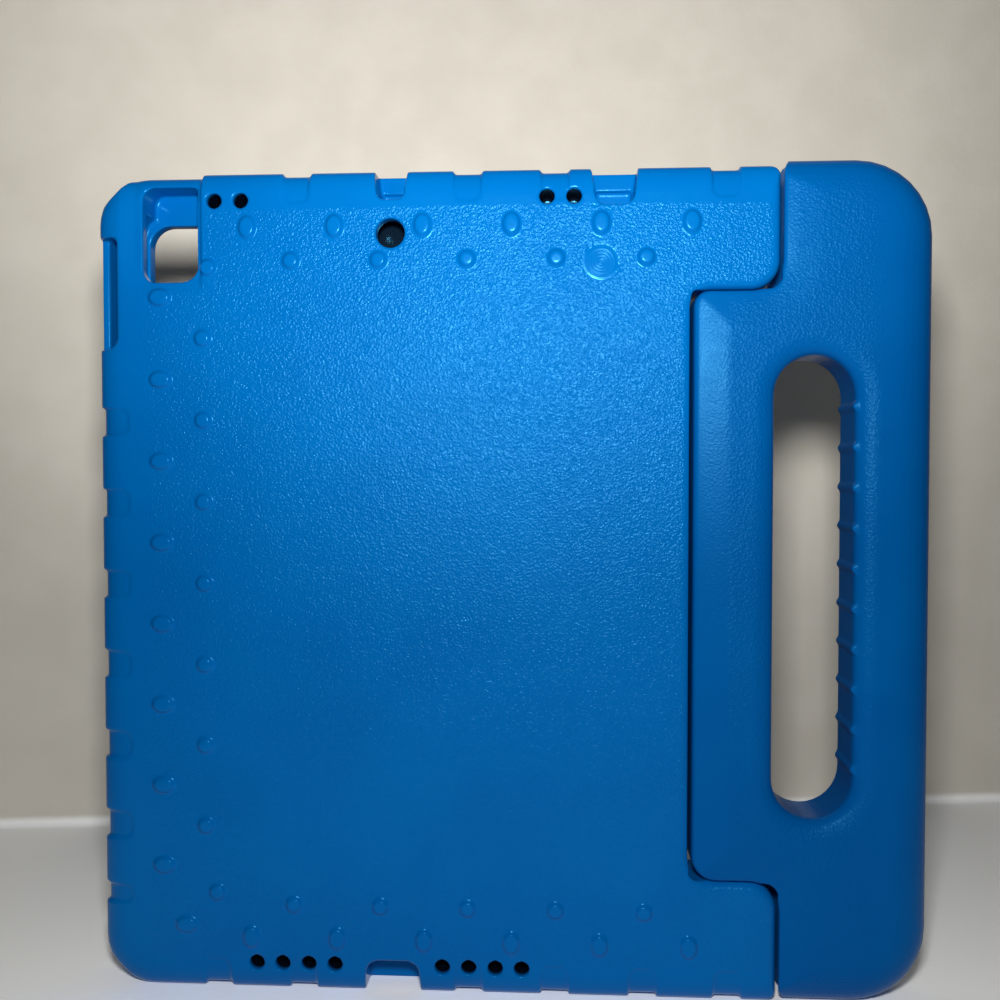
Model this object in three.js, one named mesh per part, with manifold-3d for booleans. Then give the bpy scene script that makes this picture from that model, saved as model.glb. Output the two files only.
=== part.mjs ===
// Child's tablet case in moulded foam, with a carry handle that swings back as a stand.
// Millimetres. X runs from the case towards the handle, Y from the back towards the screen side, Z up.
// The drawing frame has X = 0 and Z = 0 at the middle of the tablet and Y = 0 on the flat back.
// The finished model is moved so that its origin is under the middle of its box, on the ground.

import * as THREE from 'three';
import * as BufferGeometryUtils from 'three/addons/utils/BufferGeometryUtils.js';
import Module from 'manifold-3d';

const wasm = await Module();
wasm.setup();

// Tablet that the pocket is made for
const TABLET_LENGTH = 250.6;
const TABLET_WIDTH = 174.1;
const TABLET_THICKNESS = 7.5;
const TABLET_CORNER = 8;
const POCKET_PLAY = 0.3;

// Walls of the foam shell
const END_WALL = 11.4;
const SIDE_WALL = 11.65;
const HINGE_SIDE_WALL = 11.25;
const BACK_WALL = 5;
const FRONT_WALL = 7.2;
const LIP_THICKNESS = 4.4;
const LIP_OVER_SIDES = 1.8;
const LIP_OVER_ENDS = 3.2;
const WINDOW_CORNER = 7;
const LIP_SLOPE_WIDTH = 6;
const BUTTON_NOTCH_RADIUS = 8.5;
const BUTTON_TO_TABLET_EDGE = 10;
const LIP_TAB_RADIUS = 10.5;

// Rolled edges: width across the face and depth down the side
const BACK_ROLL_WIDTH = 9;
const BACK_ROLL_DEPTH = 4.5;
const FRONT_ROLL_WIDTH = 5;
const FRONT_ROLL_DEPTH = 4;
const SEAM_ROLL = 4;
const ROLL_STEPS = 3;

// Outer corners of the shell on the side away from the hinge: rounded, then cut by a flat facet
const SHELL_CORNER = 17;
const FACET_CUT = 12.2;

// Hinge between the shell's two shoulders and the handle's tongue
const HINGE_INSET = 14.4;
const SHOULDER_REACH = 13.8;
const SHOULDER_LENGTH = 40.2;
const SHOULDER_CORNER = 9.3;
const SEAM_END_CORNER = 4.5;
const SEAM_GAP = 0.9;
const SWEEP_CLEARANCE = 0.8;
const TONGUE_TOP_CORNER = 5;
const TONGUE_BOTTOM_CORNER = 7.8;

// Handle
const HANDLE_REACH = 63;
const HANDLE_PROUD = 2;
const HANDLE_RISE = 2;
const HANDLE_CORNER = 25;
const HANDLE_ROLL = 4.3;
const HANDLE_OUTER_ROLL_WIDTH = 14;
const HANDLE_OUTER_ROLL_DEPTH = 9;
const GRIP_BAR_WIDTH = 25.2;
const GRIP_HOLE_WIDTH = 25.8;
const GRIP_HOLE_LENGTH = 151;
const FINGER_RIDGE_COUNT = 10;
const FINGER_RIDGE_PITCH = 13.1;
const FINGER_RIDGE_RADIUS = 1.5;
const FINGER_RIDGE_HEIGHT = 1;
const FINGER_RIDGE_SIDES = 10;

// Plastic pins and bushes on the hinge axis
const PIN_RADIUS = 3.5;
const PIN_JOURNAL_LENGTH = 20;
const PIN_KEY_SIZE = 9;
const PIN_KEY_LENGTH = 22;
const PIN_HEAD_RADIUS = 4.4;
const PIN_HEAD_LENGTH = 1.6;
const BUSH_WALL = 1.8;
const BUSH_RECESS = 0.4;
const PLASTIC_FIT = 0.3;
const PIN_SIDES = 16;
const PIN_CHAMFER = 1;
const PIN_KEY_CORNER = 0.6;
const SOCKET_CORNER = 0.1;

// Raised bumps on the back, set in from the shell's ends and from its left side
const BUMP_PITCH_ACROSS = 29.15;
const BUMP_PITCH_ALONG = 27.2;
const BUMP_ROW_START = 51.4;
const BUMP_ROW_COUNT = 6;
const BUMP_ROW_OUTER_INSET = 18.5;
const BUMP_ROW_INNER_INSET = 29.7;
const BUMP_COLUMN_START = 41.3;
const BUMP_COLUMN_COUNT = 8;
const BUMP_COLUMN_OUTER_INSET = 21.8;
const BUMP_COLUMN_INNER_INSET = 36.2;
const BUMP_HEIGHT = 1;
const OVAL_LONG = 4.1;
const OVAL_SHORT = 2.8;
const ROUND_RADIUS = 3;
const UPPER_CORNER_ROUND = [38.1, 31.6];
const LOWER_CORNER_ROUND = [39.9, 33.4];
const LOWER_CORNER_OVAL = [29.3, 22.2];
const BUMP_SIDES = 12;
const BUMP_RINGS = 4;

// Grip notches around the shell's edge
const NOTCH_DEPTH = 0.8;
const NOTCH_REACH = 12;
const NOTCH_WIDTH = 9.4;
const NOTCH_CORNER = 3.2;
const NOTCH_OPEN_CORNER = 1;
const SIDE_NOTCH_START = 82.5;
const SIDE_NOTCH_COUNT = 6;
const CORNER_NOTCH_INSET = 32;
const CORNER_NOTCH_WIDTH = 6.5;
const CORNER_NOTCH_CORNER = 3;
const TOP_NOTCHES = [-31.5, 25.4, 54, 109.2];
const BOTTOM_NOTCHES = [-59.4, -30.3, 25.6, 54.2, 83.2, 111];

// Camera and top-button cutout with the shallow relief round it, measured from the tablet's side and end
const CAMERA_LEFT_INSET = 3.85;
const CAMERA_RIGHT_INSET = 22.45;
const CAMERA_BOTTOM_INSET = 24.4;
const CAMERA_TOP_OUTSET = 7.1;
const CAMERA_CORNER = 4;
const CAMERA_LOW_CORNER = 5.5;
const CAMERA_HIGH_CORNER = 2;
const RELIEF_LEFT_OUTSET = 3.35;
const RELIEF_RIGHT_INSET = 23.85;
const RELIEF_BOTTOM_INSET = 27.1;
const RELIEF_CORNER = 10;
const RELIEF_CORNER_START = 14;
const RELIEF_CORNER_PULL = 5;
const RELIEF_DEPTH = 0.9;

// Slot for the volume buttons in the side wall, behind a low guard wall
const VOLUME_TOP_INSET = 9.3;
const VOLUME_BOTTOM_INSET = 46.6;
const VOLUME_GUARD_WIDTH = 2.3;
const VOLUME_GUARD_DEPTH = 6;
const VOLUME_TRENCH_WIDTH = 4.8;
const VOLUME_RAMP = 4;
const VOLUME_TOP_CORNER = 2;
const VOLUME_WINDOW_MARGIN = 3;

// Cutouts in the end walls: place, outer width and inner width; floor edges are past the tablet's end
const JACK_SIDE_INSET = 13.65;
const JACK_WIDTH = 16.4;
const JACK_INNER_WIDTH = 12;
const JACK_FLOOR_OUTSET = -0.7;
const MICROPHONE_CENTRE = 0;
const MICROPHONE_WIDTH = 12;
const MICROPHONE_INNER_WIDTH = 8.6;
const MICROPHONE_FLOOR_OUTSET = 1.9;
const PORT_OUTER_WIDTH = 19.4;
const PORT_INNER_WIDTH = 17.4;
const PORT_MOUTH_WIDTH = 14.4;
const PORT_MOUTH_REACH = 2;
const PORT_FLOOR_OUTSET = 0.5;
const PORT_CORNER = 4;
const CUTOUT_STEP = 5.6;
const CUTOUT_STEP_DEPTH = 1.4;
const CUTOUT_CORNER_LEAN = 1 / 3;
const CUTOUT_CORNER_SHARE = 1 / 4;

// Small round holes
const SOUND_HOLE_RADIUS = 2.5;
const SOUND_HOLE_OUTSET = 2.1;
const TOP_SOUND_HOLES = [-58.8, -49.9, 51.4, 60.2];
const BOTTOM_SOUND_HOLES = [-45.9, -37.1, -28.3, -19.4, 16.8, 25.6, 34.5, 43.3];
const CENTRE_HOLE_RADIUS = 4.75;
const CENTRE_HOLE_INSET = 9.2;

// Gate mark left by the mould
const GATE_SIDE_INSET = 18.15;
const GATE_END_INSET = 19.5;
const GATE_RADIUS = 6.2;
const GATE_GROOVE = 0.9;
const GATE_GROOVE_DEPTH = 0.7;

// Facets on round shapes
const ARC_STEPS = 3;
const HOLE_SIDES = 14;
const ROUND_SIDES = 28;
const SWEEP_SIDES = 48;
const CUT_PAST = 5;
const CUT_OVERLAP = 1;
const SMALL_CORNER = 0.5;
const MERGE_DISTANCE = 1e-4;

// Derived planes of the drawing frame
const tabletSide = TABLET_WIDTH / 2;
const tabletTop = TABLET_LENGTH / 2;
const pocketHalfWidth = tabletSide + POCKET_PLAY;
const pocketHalfLength = tabletTop + POCKET_PLAY;
const pocketFloor = BACK_WALL;
const pocketRoof = BACK_WALL + TABLET_THICKNESS + POCKET_PLAY;
const caseThickness = pocketRoof + FRONT_WALL;
const caseHalfLength = pocketHalfLength + END_WALL;
const caseLeft = -(pocketHalfWidth + SIDE_WALL);
const recessWall = pocketHalfWidth + HINGE_SIDE_WALL;
const hingeX = recessWall + HINGE_INSET;
const hingeY = caseThickness / 2;
const shoulderEnd = hingeX + SHOULDER_REACH;
const shoulderInner = caseHalfLength - SHOULDER_LENGTH;
const tongueEnd = recessWall + SEAM_GAP;
const tongueHalfLength = shoulderInner - SEAM_GAP;
const seatWall = shoulderEnd + SEAM_GAP;
const handleRight = hingeX + HANDLE_REACH;
const handleBack = -HANDLE_PROUD;
const handleFront = caseThickness + HANDLE_PROUD;
const gripRight = handleRight - GRIP_BAR_WIDTH;
const windowHalfWidth = tabletSide - LIP_OVER_SIDES;
const windowHalfLength = tabletTop - LIP_OVER_ENDS;
const lipFront = pocketRoof + LIP_THICKNESS;
const cutFloor = pocketRoof;
const handleTop = caseHalfLength + HANDLE_RISE;
const handleBottom = -caseHalfLength;
const bumpRowOuter = caseHalfLength - BUMP_ROW_OUTER_INSET;
const bumpRowInner = caseHalfLength - BUMP_ROW_INNER_INSET;
const bumpColumnOuter = caseLeft + BUMP_COLUMN_OUTER_INSET;
const bumpColumnInner = caseLeft + BUMP_COLUMN_INNER_INSET;
const reliefRight = -tabletSide + RELIEF_RIGHT_INSET;
const reliefLeft = -tabletSide - RELIEF_LEFT_OUTSET;
const reliefBottom = tabletTop - RELIEF_BOTTOM_INSET;
const volumeTop = tabletTop - VOLUME_TOP_INSET;
const volumeBottom = tabletTop - VOLUME_BOTTOM_INSET;
const soundHoleLine = tabletTop + SOUND_HOLE_OUTSET;
const gateX = tabletSide - GATE_SIDE_INSET;
const gateZ = tabletTop - GATE_END_INSET;

const foamBlue = new THREE.MeshStandardMaterial({ color: 0x0a72c8, roughness: 0.5, metalness: 0 });
const handleBlue = new THREE.MeshStandardMaterial({ color: 0x0968bc, roughness: 0.48, metalness: 0 });
const darkPlastic = new THREE.MeshStandardMaterial({ color: 0x2a2d30, roughness: 0.45, metalness: 0 });
const palePlastic = new THREE.MeshStandardMaterial({ color: 0xc9ccd0, roughness: 0.4, metalness: 0 });

// Turns a closed geometry into a solid that can be joined and cut
function solidFrom(geometry) {
  const bare = geometry.clone();
  bare.deleteAttribute('normal');
  bare.deleteAttribute('uv');
  const merged = BufferGeometryUtils.mergeVertices(bare, MERGE_DISTANCE);
  const vertProperties = new Float32Array(merged.attributes.position.array);
  const triVerts = new Uint32Array(merged.index.array);
  return new wasm.Manifold(new wasm.Mesh({ numProp: 3, vertProperties, triVerts }));
}

// Turns a solid back into a named mesh
function meshFrom(solid, name, material) {
  const data = solid.getMesh();
  const geometry = new THREE.BufferGeometry();
  geometry.setAttribute('position', new THREE.BufferAttribute(new Float32Array(data.vertProperties), 3));
  geometry.setIndex(new THREE.BufferAttribute(new Uint32Array(data.triVerts), 1));
  geometry.computeVertexNormals();
  const mesh = new THREE.Mesh(geometry, material);
  mesh.name = name;
  return mesh;
}

// Solid of an outline drawn in X and Z, between two depths, with rolled edges of a width and a depth
function slab(shape, back, front, rollWidth = 0, rollDepth = 0) {
  const rolled = rollWidth > 0;
  const geometry = new THREE.ExtrudeGeometry(shape, {
    depth: front - back - 2 * rollDepth,
    curveSegments: ARC_STEPS,
    bevelEnabled: rolled,
    bevelSize: rollWidth,
    bevelOffset: -rollWidth,
    bevelThickness: rollDepth,
    bevelSegments: ROLL_STEPS,
  });
  geometry.rotateX(Math.PI / 2);
  geometry.translate(0, front - rollDepth, 0);
  return solidFrom(geometry);
}

// Outline of a rectangle with its own radius at each corner
function roundedRectangle(left, right, bottom, top, corners) {
  const [lowLeft, lowRight, topRight, topLeft] = Array.isArray(corners) ? corners : Array(4).fill(corners);
  const shape = new THREE.Shape();
  shape.moveTo(left + lowLeft, bottom);
  shape.lineTo(right - lowRight, bottom);
  shape.absarc(right - lowRight, bottom + lowRight, lowRight, -Math.PI / 2, 0, false);
  shape.lineTo(right, top - topRight);
  shape.absarc(right - topRight, top - topRight, topRight, 0, Math.PI / 2, false);
  shape.lineTo(left + topLeft, top);
  shape.absarc(left + topLeft, top - topLeft, topLeft, Math.PI / 2, Math.PI, false);
  shape.lineTo(left, bottom + lowLeft);
  shape.absarc(left + lowLeft, bottom + lowLeft, lowLeft, Math.PI, 1.5 * Math.PI, false);
  return shape;
}

// Outline that narrows from its outer edge towards the middle of the case
function taperedNotch(centre, outerWidth, innerWidth, outerEdge, innerEdge, corner) {
  const cornerStart = innerEdge + Math.sign(outerEdge - innerEdge) * corner;
  const lean = corner * CUTOUT_CORNER_LEAN;
  const left = centre - innerWidth / 2;
  const right = centre + innerWidth / 2;
  const shape = new THREE.Shape();
  shape.moveTo(centre - outerWidth / 2, outerEdge);
  shape.lineTo(left - lean, cornerStart);
  shape.quadraticCurveTo(left, innerEdge, left + corner, innerEdge);
  shape.lineTo(right - corner, innerEdge);
  shape.quadraticCurveTo(right, innerEdge, right + lean, cornerStart);
  shape.lineTo(centre + outerWidth / 2, outerEdge);
  return shape;
}

// Round bar along Y between two depths
function barAlongY(x, z, radius, back, front, sides = HOLE_SIDES) {
  const geometry = new THREE.CylinderGeometry(radius, radius, front - back, sides);
  geometry.translate(x, (back + front) / 2, z);
  return solidFrom(geometry);
}

// Solid turned about the hinge axis from pairs of radius and height
function turned(profile, sides) {
  const points = profile.map(([radius, height]) => new THREE.Vector2(radius, height));
  const geometry = new THREE.LatheGeometry(points, sides);
  geometry.rotateX(Math.PI / 2);
  geometry.translate(hingeX, hingeY, 0);
  return solidFrom(geometry);
}

// Profile of the upper end of the hinge, or the same turned over for the lower end
function atEnd(profile, side) {
  return side > 0 ? profile : profile.map(([radius, height]) => [radius, -height]).reverse();
}

// The shell's rolled outside, set in by an amount; the hinge side is left long
function shellRolls(inset) {
  const past = 2 * caseThickness;
  const top = caseHalfLength - inset;
  const outline = roundedRectangle(caseLeft + inset, handleRight + past, -top, top, SHELL_CORNER - inset);
  const backSide = slab(outline, inset, caseThickness + past, BACK_ROLL_WIDTH, BACK_ROLL_DEPTH);
  const frontSide = slab(outline, -past, caseThickness, FRONT_ROLL_WIDTH, FRONT_ROLL_DEPTH);
  return backSide.intersect(frontSide);
}

// Outline of the shell's hinge side, with the recess for the tongue between two shoulders, and the facets
function hingeSideOutline() {
  const left = caseLeft - CUT_PAST;
  const facetX = caseLeft + FACET_CUT + CUT_PAST;
  const facetZ = caseHalfLength - FACET_CUT - CUT_PAST;
  const far = caseHalfLength + CUT_PAST;
  const inner = shoulderInner;
  const corner = SHOULDER_CORNER;
  const end = shoulderEnd;
  const upper = TONGUE_TOP_CORNER + SEAM_GAP;
  const lower = TONGUE_BOTTOM_CORNER + SEAM_GAP;
  const notch = SEAM_END_CORNER;
  const shape = new THREE.Shape();
  shape.moveTo(left, -facetZ);
  shape.lineTo(facetX, -far);
  shape.lineTo(end - notch - CUT_PAST, -far);
  shape.lineTo(end - notch - CUT_PAST, -caseHalfLength);
  shape.lineTo(end - notch, -caseHalfLength);
  shape.absarc(end - notch, -caseHalfLength + notch, notch, -Math.PI / 2, 0, false);
  shape.absarc(end - corner, -inner - corner, corner, 0, Math.PI / 2, false);
  shape.absarc(recessWall + lower, -inner + lower, lower, 1.5 * Math.PI, Math.PI, true);
  shape.absarc(recessWall + upper, inner - upper, upper, Math.PI, Math.PI / 2, true);
  shape.absarc(end - corner, inner + corner, corner, -Math.PI / 2, 0, false);
  shape.absarc(end - notch, caseHalfLength - notch, notch, 0, Math.PI / 2, false);
  shape.lineTo(end - notch - CUT_PAST, caseHalfLength);
  shape.lineTo(end - notch - CUT_PAST, far);
  shape.lineTo(facetX, far);
  shape.lineTo(left, facetZ);
  return shape;
}

// Largest distance from the hinge axis of a rounded bar end
function sweptRadius(reach, halfThickness, roll) {
  const across = Math.max(reach - roll, 0);
  return Math.hypot(across, halfThickness - roll) + roll + SWEEP_CLEARANCE;
}

// Reach of a bar end whose plan corner is an arc, at a height above the arc's start
function reachInCorner(reach, corner, height) {
  return reach - corner + Math.sqrt(Math.max(corner ** 2 - height ** 2, 0));
}

// Room that the turning tongue sweeps inside the shell's recess
function tongueSweep() {
  const reach = hingeX - tongueEnd;
  const half = (handleFront - handleBack) / 2;
  const profile = [];
  const ends = [
    [-1, TONGUE_BOTTOM_CORNER],
    [1, TONGUE_TOP_CORNER],
  ];
  for (const [side, corner] of ends) {
    for (let step = 0; step <= ARC_STEPS; step += 1) {
      const share = side < 0 ? 1 - step / ARC_STEPS : step / ARC_STEPS;
      const height = corner * Math.sin((share * Math.PI) / 2);
      const radius = sweptRadius(reachInCorner(reach, corner, height), half, HANDLE_ROLL);
      profile.push([radius, side * (tongueHalfLength - corner + height)]);
    }
  }
  const bottom = profile[0][1] - SEAM_GAP / 2;
  const top = profile[profile.length - 1][1] + SEAM_GAP / 2;
  profile.unshift([0, bottom], [profile[0][0], bottom]);
  profile.push([profile[profile.length - 1][0], top], [0, top]);
  return turned(profile, SWEEP_SIDES);
}

// Room that a shoulder sweeps inside the turning handle, above the tongue or below it
function shoulderSweep(side) {
  const half = caseThickness / 2;
  const profile = [];
  for (let step = 0; step <= ARC_STEPS; step += 1) {
    const drop = SHOULDER_CORNER * Math.cos((step * Math.PI) / 2 / ARC_STEPS);
    const radius = sweptRadius(reachInCorner(SHOULDER_REACH, SHOULDER_CORNER, drop), half, SEAM_ROLL);
    profile.push([radius, shoulderInner + SHOULDER_CORNER - drop]);
  }
  profile.push([profile[profile.length - 1][0], caseHalfLength + CUT_PAST]);
  profile.unshift([0, profile[0][1]]);
  profile.push([0, caseHalfLength + CUT_PAST]);
  return turned(atEnd(profile, side), SWEEP_SIDES);
}

// Low dome on the back
function bump(x, z, halfAcross, halfAlong) {
  const geometry = new THREE.SphereGeometry(1, BUMP_SIDES, BUMP_RINGS);
  geometry.scale(halfAcross, BUMP_HEIGHT, halfAlong);
  geometry.translate(x, 0, z);
  return solidFrom(geometry);
}

// Round or oval dome at an inset from the left side and from the upper or lower end
function cornerBump(inset, end, halfAcross, halfAlong) {
  return bump(caseLeft + inset[0], end * (caseHalfLength - inset[1]), halfAcross, halfAlong);
}

// All bumps: staggered rows along both ends and staggered columns down the side
function bumps() {
  const domes = [];
  for (const end of [1, -1]) {
    for (let index = 0; index < BUMP_ROW_COUNT; index += 1) {
      const x = caseLeft + BUMP_ROW_START + index * BUMP_PITCH_ACROSS;
      domes.push(bump(x, end * bumpRowOuter, OVAL_SHORT, OVAL_LONG));
      if (index < BUMP_ROW_COUNT - 1) {
        domes.push(bump(x + BUMP_PITCH_ACROSS / 2, end * bumpRowInner, ROUND_RADIUS, ROUND_RADIUS));
      }
    }
  }
  for (let index = 0; index < BUMP_COLUMN_COUNT; index += 1) {
    const z = caseHalfLength - BUMP_COLUMN_START - index * BUMP_PITCH_ALONG;
    domes.push(bump(bumpColumnOuter, z, OVAL_LONG, OVAL_SHORT));
    if (index < BUMP_COLUMN_COUNT - 1) {
      domes.push(bump(bumpColumnInner, z - BUMP_PITCH_ALONG / 2, ROUND_RADIUS, ROUND_RADIUS));
    }
  }
  domes.push(cornerBump(UPPER_CORNER_ROUND, 1, ROUND_RADIUS, ROUND_RADIUS));
  domes.push(cornerBump(LOWER_CORNER_ROUND, -1, ROUND_RADIUS, ROUND_RADIUS));
  domes.push(cornerBump(LOWER_CORNER_OVAL, -1, OVAL_LONG, OVAL_SHORT));
  return domes;
}

// Grip notches: the outlines in which the shell is cut back to its set-in skin
function notchBands() {
  const bands = [];
  const half = NOTCH_WIDTH / 2;
  const round = NOTCH_CORNER;
  const open = NOTCH_OPEN_CORNER;
  const addBand = (left, right, bottom, top, corners) => {
    const outline = roundedRectangle(left, right, bottom, top, corners);
    bands.push(slab(outline, -CUT_PAST, caseThickness + CUT_PAST));
  };
  const outerX = caseLeft - CUT_PAST;
  const innerX = caseLeft + NOTCH_REACH;
  for (let index = 0; index < SIDE_NOTCH_COUNT; index += 1) {
    const z = caseHalfLength - SIDE_NOTCH_START - index * BUMP_PITCH_ALONG;
    addBand(outerX, innerX, z - half, z + half, [open, round, round, open]);
  }
  const cornerBottom = -caseHalfLength + CORNER_NOTCH_INSET - CORNER_NOTCH_WIDTH / 2;
  const cornerTop = cornerBottom + CORNER_NOTCH_WIDTH;
  const cornerRound = CORNER_NOTCH_CORNER;
  addBand(outerX, innerX, cornerBottom, cornerTop, [open, cornerRound, cornerRound, open]);
  const outerZ = caseHalfLength + CUT_PAST;
  const innerZ = caseHalfLength - NOTCH_REACH;
  for (const x of TOP_NOTCHES) {
    addBand(x - half, x + half, innerZ, outerZ, [round, round, open, open]);
  }
  for (const x of BOTTOM_NOTCHES) {
    addBand(x - half, x + half, -outerZ, -innerZ, [open, open, round, round]);
  }
  return bands;
}

// Relief round the camera cutout, open over the top edge
function cameraRelief() {
  const shape = new THREE.Shape();
  const top = caseHalfLength + CUT_PAST;
  const pull = reliefBottom + RELIEF_CORNER_PULL;
  shape.moveTo(reliefLeft, top);
  shape.lineTo(reliefLeft, reliefBottom + RELIEF_CORNER_START);
  shape.quadraticCurveTo(reliefLeft, pull, reliefLeft + RELIEF_CORNER, reliefBottom);
  shape.lineTo(reliefRight, reliefBottom);
  shape.lineTo(reliefRight, top);
  return slab(shape, -CUT_PAST, caseThickness + CUT_PAST);
}

// Cuts that pass from the back into the pocket and its walls
function cutouts() {
  const cuts = [];
  const past = -CUT_PAST;
  const beyond = caseHalfLength + CUT_PAST;
  const cameraLeft = -tabletSide + CAMERA_LEFT_INSET;
  const cameraRight = -tabletSide + CAMERA_RIGHT_INSET;
  const cameraBottom = tabletTop - CAMERA_BOTTOM_INSET;
  const cameraTop = tabletTop + CAMERA_TOP_OUTSET;
  const camera = roundedRectangle(cameraLeft, cameraRight, cameraBottom, cameraTop, [
    CAMERA_CORNER,
    CAMERA_LOW_CORNER,
    CAMERA_HIGH_CORNER,
    CAMERA_CORNER,
  ]);
  cuts.push(slab(camera, past, cutFloor));
  const centreHole = tabletTop - CENTRE_HOLE_INSET;
  cuts.push(barAlongY(0, centreHole, CENTRE_HOLE_RADIUS, past, pocketFloor + CUT_OVERLAP));
  for (const x of TOP_SOUND_HOLES) {
    cuts.push(barAlongY(x, soundHoleLine, SOUND_HOLE_RADIUS, past, cutFloor));
  }
  for (const x of BOTTOM_SOUND_HOLES) {
    cuts.push(barAlongY(x, -soundHoleLine, SOUND_HOLE_RADIUS, past, cutFloor));
  }
  const wallCuts = [
    [tabletSide - JACK_SIDE_INSET, JACK_WIDTH, JACK_INNER_WIDTH, JACK_FLOOR_OUTSET],
    [MICROPHONE_CENTRE, MICROPHONE_WIDTH, MICROPHONE_INNER_WIDTH, MICROPHONE_FLOOR_OUTSET],
  ];
  for (const [centre, width, innerWidth, floorOutset] of wallCuts) {
    const innerEdge = tabletTop + floorOutset;
    const corner = innerWidth * CUTOUT_CORNER_SHARE;
    const notch = taperedNotch(centre, width, innerWidth, beyond, innerEdge, corner);
    cuts.push(slab(notch, past, cutFloor - CUTOUT_STEP_DEPTH));
    const deepLeft = centre - innerWidth / 2;
    const deepRight = centre + innerWidth / 2;
    const deepBottom = pocketHalfLength - CUT_OVERLAP;
    const deepTop = caseHalfLength - CUTOUT_STEP;
    const deep = roundedRectangle(deepLeft, deepRight, deepBottom, deepTop, SMALL_CORNER);
    cuts.push(slab(deep, pocketFloor + CUT_OVERLAP, cutFloor));
  }
  const portFloor = -tabletTop - PORT_FLOOR_OUTSET;
  const port = taperedNotch(0, PORT_OUTER_WIDTH, PORT_INNER_WIDTH, -beyond, portFloor, PORT_CORNER);
  cuts.push(slab(port, past, cutFloor));
  const mouthHalf = PORT_MOUTH_WIDTH / 2;
  const mouthBottom = portFloor - PORT_MOUTH_REACH;
  const mouthTop = -pocketHalfLength + CUT_OVERLAP;
  const mouth = roundedRectangle(-mouthHalf, mouthHalf, mouthBottom, mouthTop, SMALL_CORNER);
  cuts.push(slab(mouth, pocketFloor + CUT_OVERLAP, cutFloor));
  return cuts;
}

// Slot beside the volume buttons: a lowered guard wall, a trench behind it and a window into the pocket
function volumeSlot() {
  const guard = caseLeft + VOLUME_GUARD_WIDTH;
  const inner = guard + VOLUME_TRENCH_WIDTH;
  const guardOutline = roundedRectangle(caseLeft - CUT_PAST, guard + CUT_OVERLAP, volumeBottom, volumeTop, [
    SMALL_CORNER,
    SMALL_CORNER,
    VOLUME_TOP_CORNER,
    SMALL_CORNER,
  ]);
  const trenchOutline = roundedRectangle(guard, inner, volumeBottom, volumeTop, [
    SMALL_CORNER,
    VOLUME_RAMP,
    VOLUME_TOP_CORNER,
    SMALL_CORNER,
  ]);
  const windowOutline = roundedRectangle(
    inner - CUT_OVERLAP,
    -pocketHalfWidth + CUT_OVERLAP,
    volumeBottom + VOLUME_WINDOW_MARGIN,
    volumeTop - VOLUME_WINDOW_MARGIN,
    SMALL_CORNER,
  );
  const low = slab(guardOutline, -CUT_PAST, VOLUME_GUARD_DEPTH);
  const trench = slab(trenchOutline, -CUT_PAST, cutFloor);
  return low.add(trench).add(slab(windowOutline, pocketFloor + CUT_OVERLAP, cutFloor));
}

// Pocket for the tablet
function pocket() {
  const outline = roundedRectangle(
    -pocketHalfWidth,
    pocketHalfWidth,
    -pocketHalfLength,
    pocketHalfLength,
    TABLET_CORNER + POCKET_PLAY,
  );
  return slab(outline, pocketFloor, pocketRoof);
}

// Window over the screen: the lip's front slopes down to it, with a notch for the round button at the lower
// end and a half-round tab behind the centre hole at the upper end
function screenWindow() {
  const opening = roundedRectangle(
    -windowHalfWidth,
    windowHalfWidth,
    -windowHalfLength,
    windowHalfLength,
    WINDOW_CORNER,
  );
  const back = pocketRoof - CUT_OVERLAP;
  const front = caseThickness + CUT_PAST;
  const through = slab(opening, back, front);
  const halfWidth = windowHalfWidth + LIP_SLOPE_WIDTH;
  const halfLength = windowHalfLength + LIP_SLOPE_WIDTH;
  const wideCorner = WINDOW_CORNER + LIP_SLOPE_WIDTH;
  const wide = roundedRectangle(-halfWidth, halfWidth, -halfLength, halfLength, wideCorner);
  const slopeDepth = caseThickness - lipFront;
  const slope = slab(wide, lipFront, lipFront + 3 * slopeDepth, LIP_SLOPE_WIDTH, slopeDepth);
  const buttonZ = -(tabletTop - BUTTON_TO_TABLET_EDGE);
  const button = barAlongY(0, buttonZ, BUTTON_NOTCH_RADIUS, back, front, ROUND_SIDES);
  const tab = barAlongY(0, windowHalfLength, LIP_TAB_RADIUS, back, lipFront, ROUND_SIDES);
  return through.add(slope).add(button).subtract(tab);
}

// Ring groove of the gate mark
function gateGroove() {
  const innerRadius = GATE_RADIUS - GATE_GROOVE;
  const outer = barAlongY(gateX, gateZ, GATE_RADIUS, -CUT_PAST, GATE_GROOVE_DEPTH, ROUND_SIDES);
  const inner = barAlongY(gateX, gateZ, innerRadius, -2 * CUT_PAST, CUT_PAST, ROUND_SIDES);
  return outer.subtract(inner);
}

// Bore for a hinge bush in a shoulder
function bushBore(side) {
  const radius = PIN_RADIUS + 2 * PLASTIC_FIT + BUSH_WALL;
  const depth = PIN_JOURNAL_LENGTH + SEAM_GAP + PLASTIC_FIT;
  const bore = [
    [0, shoulderInner - SEAM_GAP / 2],
    [radius, shoulderInner - SEAM_GAP / 2],
    [radius, tongueHalfLength + depth],
    [0, tongueHalfLength + depth],
  ];
  return turned(atEnd(bore, side), PIN_SIDES);
}

// Square socket for a pin's key in an end of the tongue
function keySocket(side) {
  const half = PIN_KEY_SIZE / 2 + PLASTIC_FIT;
  const bottom = tongueHalfLength - PIN_KEY_LENGTH - PLASTIC_FIT;
  const top = tongueHalfLength + SEAM_GAP / 2;
  const low = side > 0 ? bottom : -top;
  const high = side > 0 ? top : -bottom;
  const outline = roundedRectangle(hingeX - half, hingeX + half, low, high, SOCKET_CORNER);
  return slab(outline, hingeY - half, hingeY + half);
}

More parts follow.
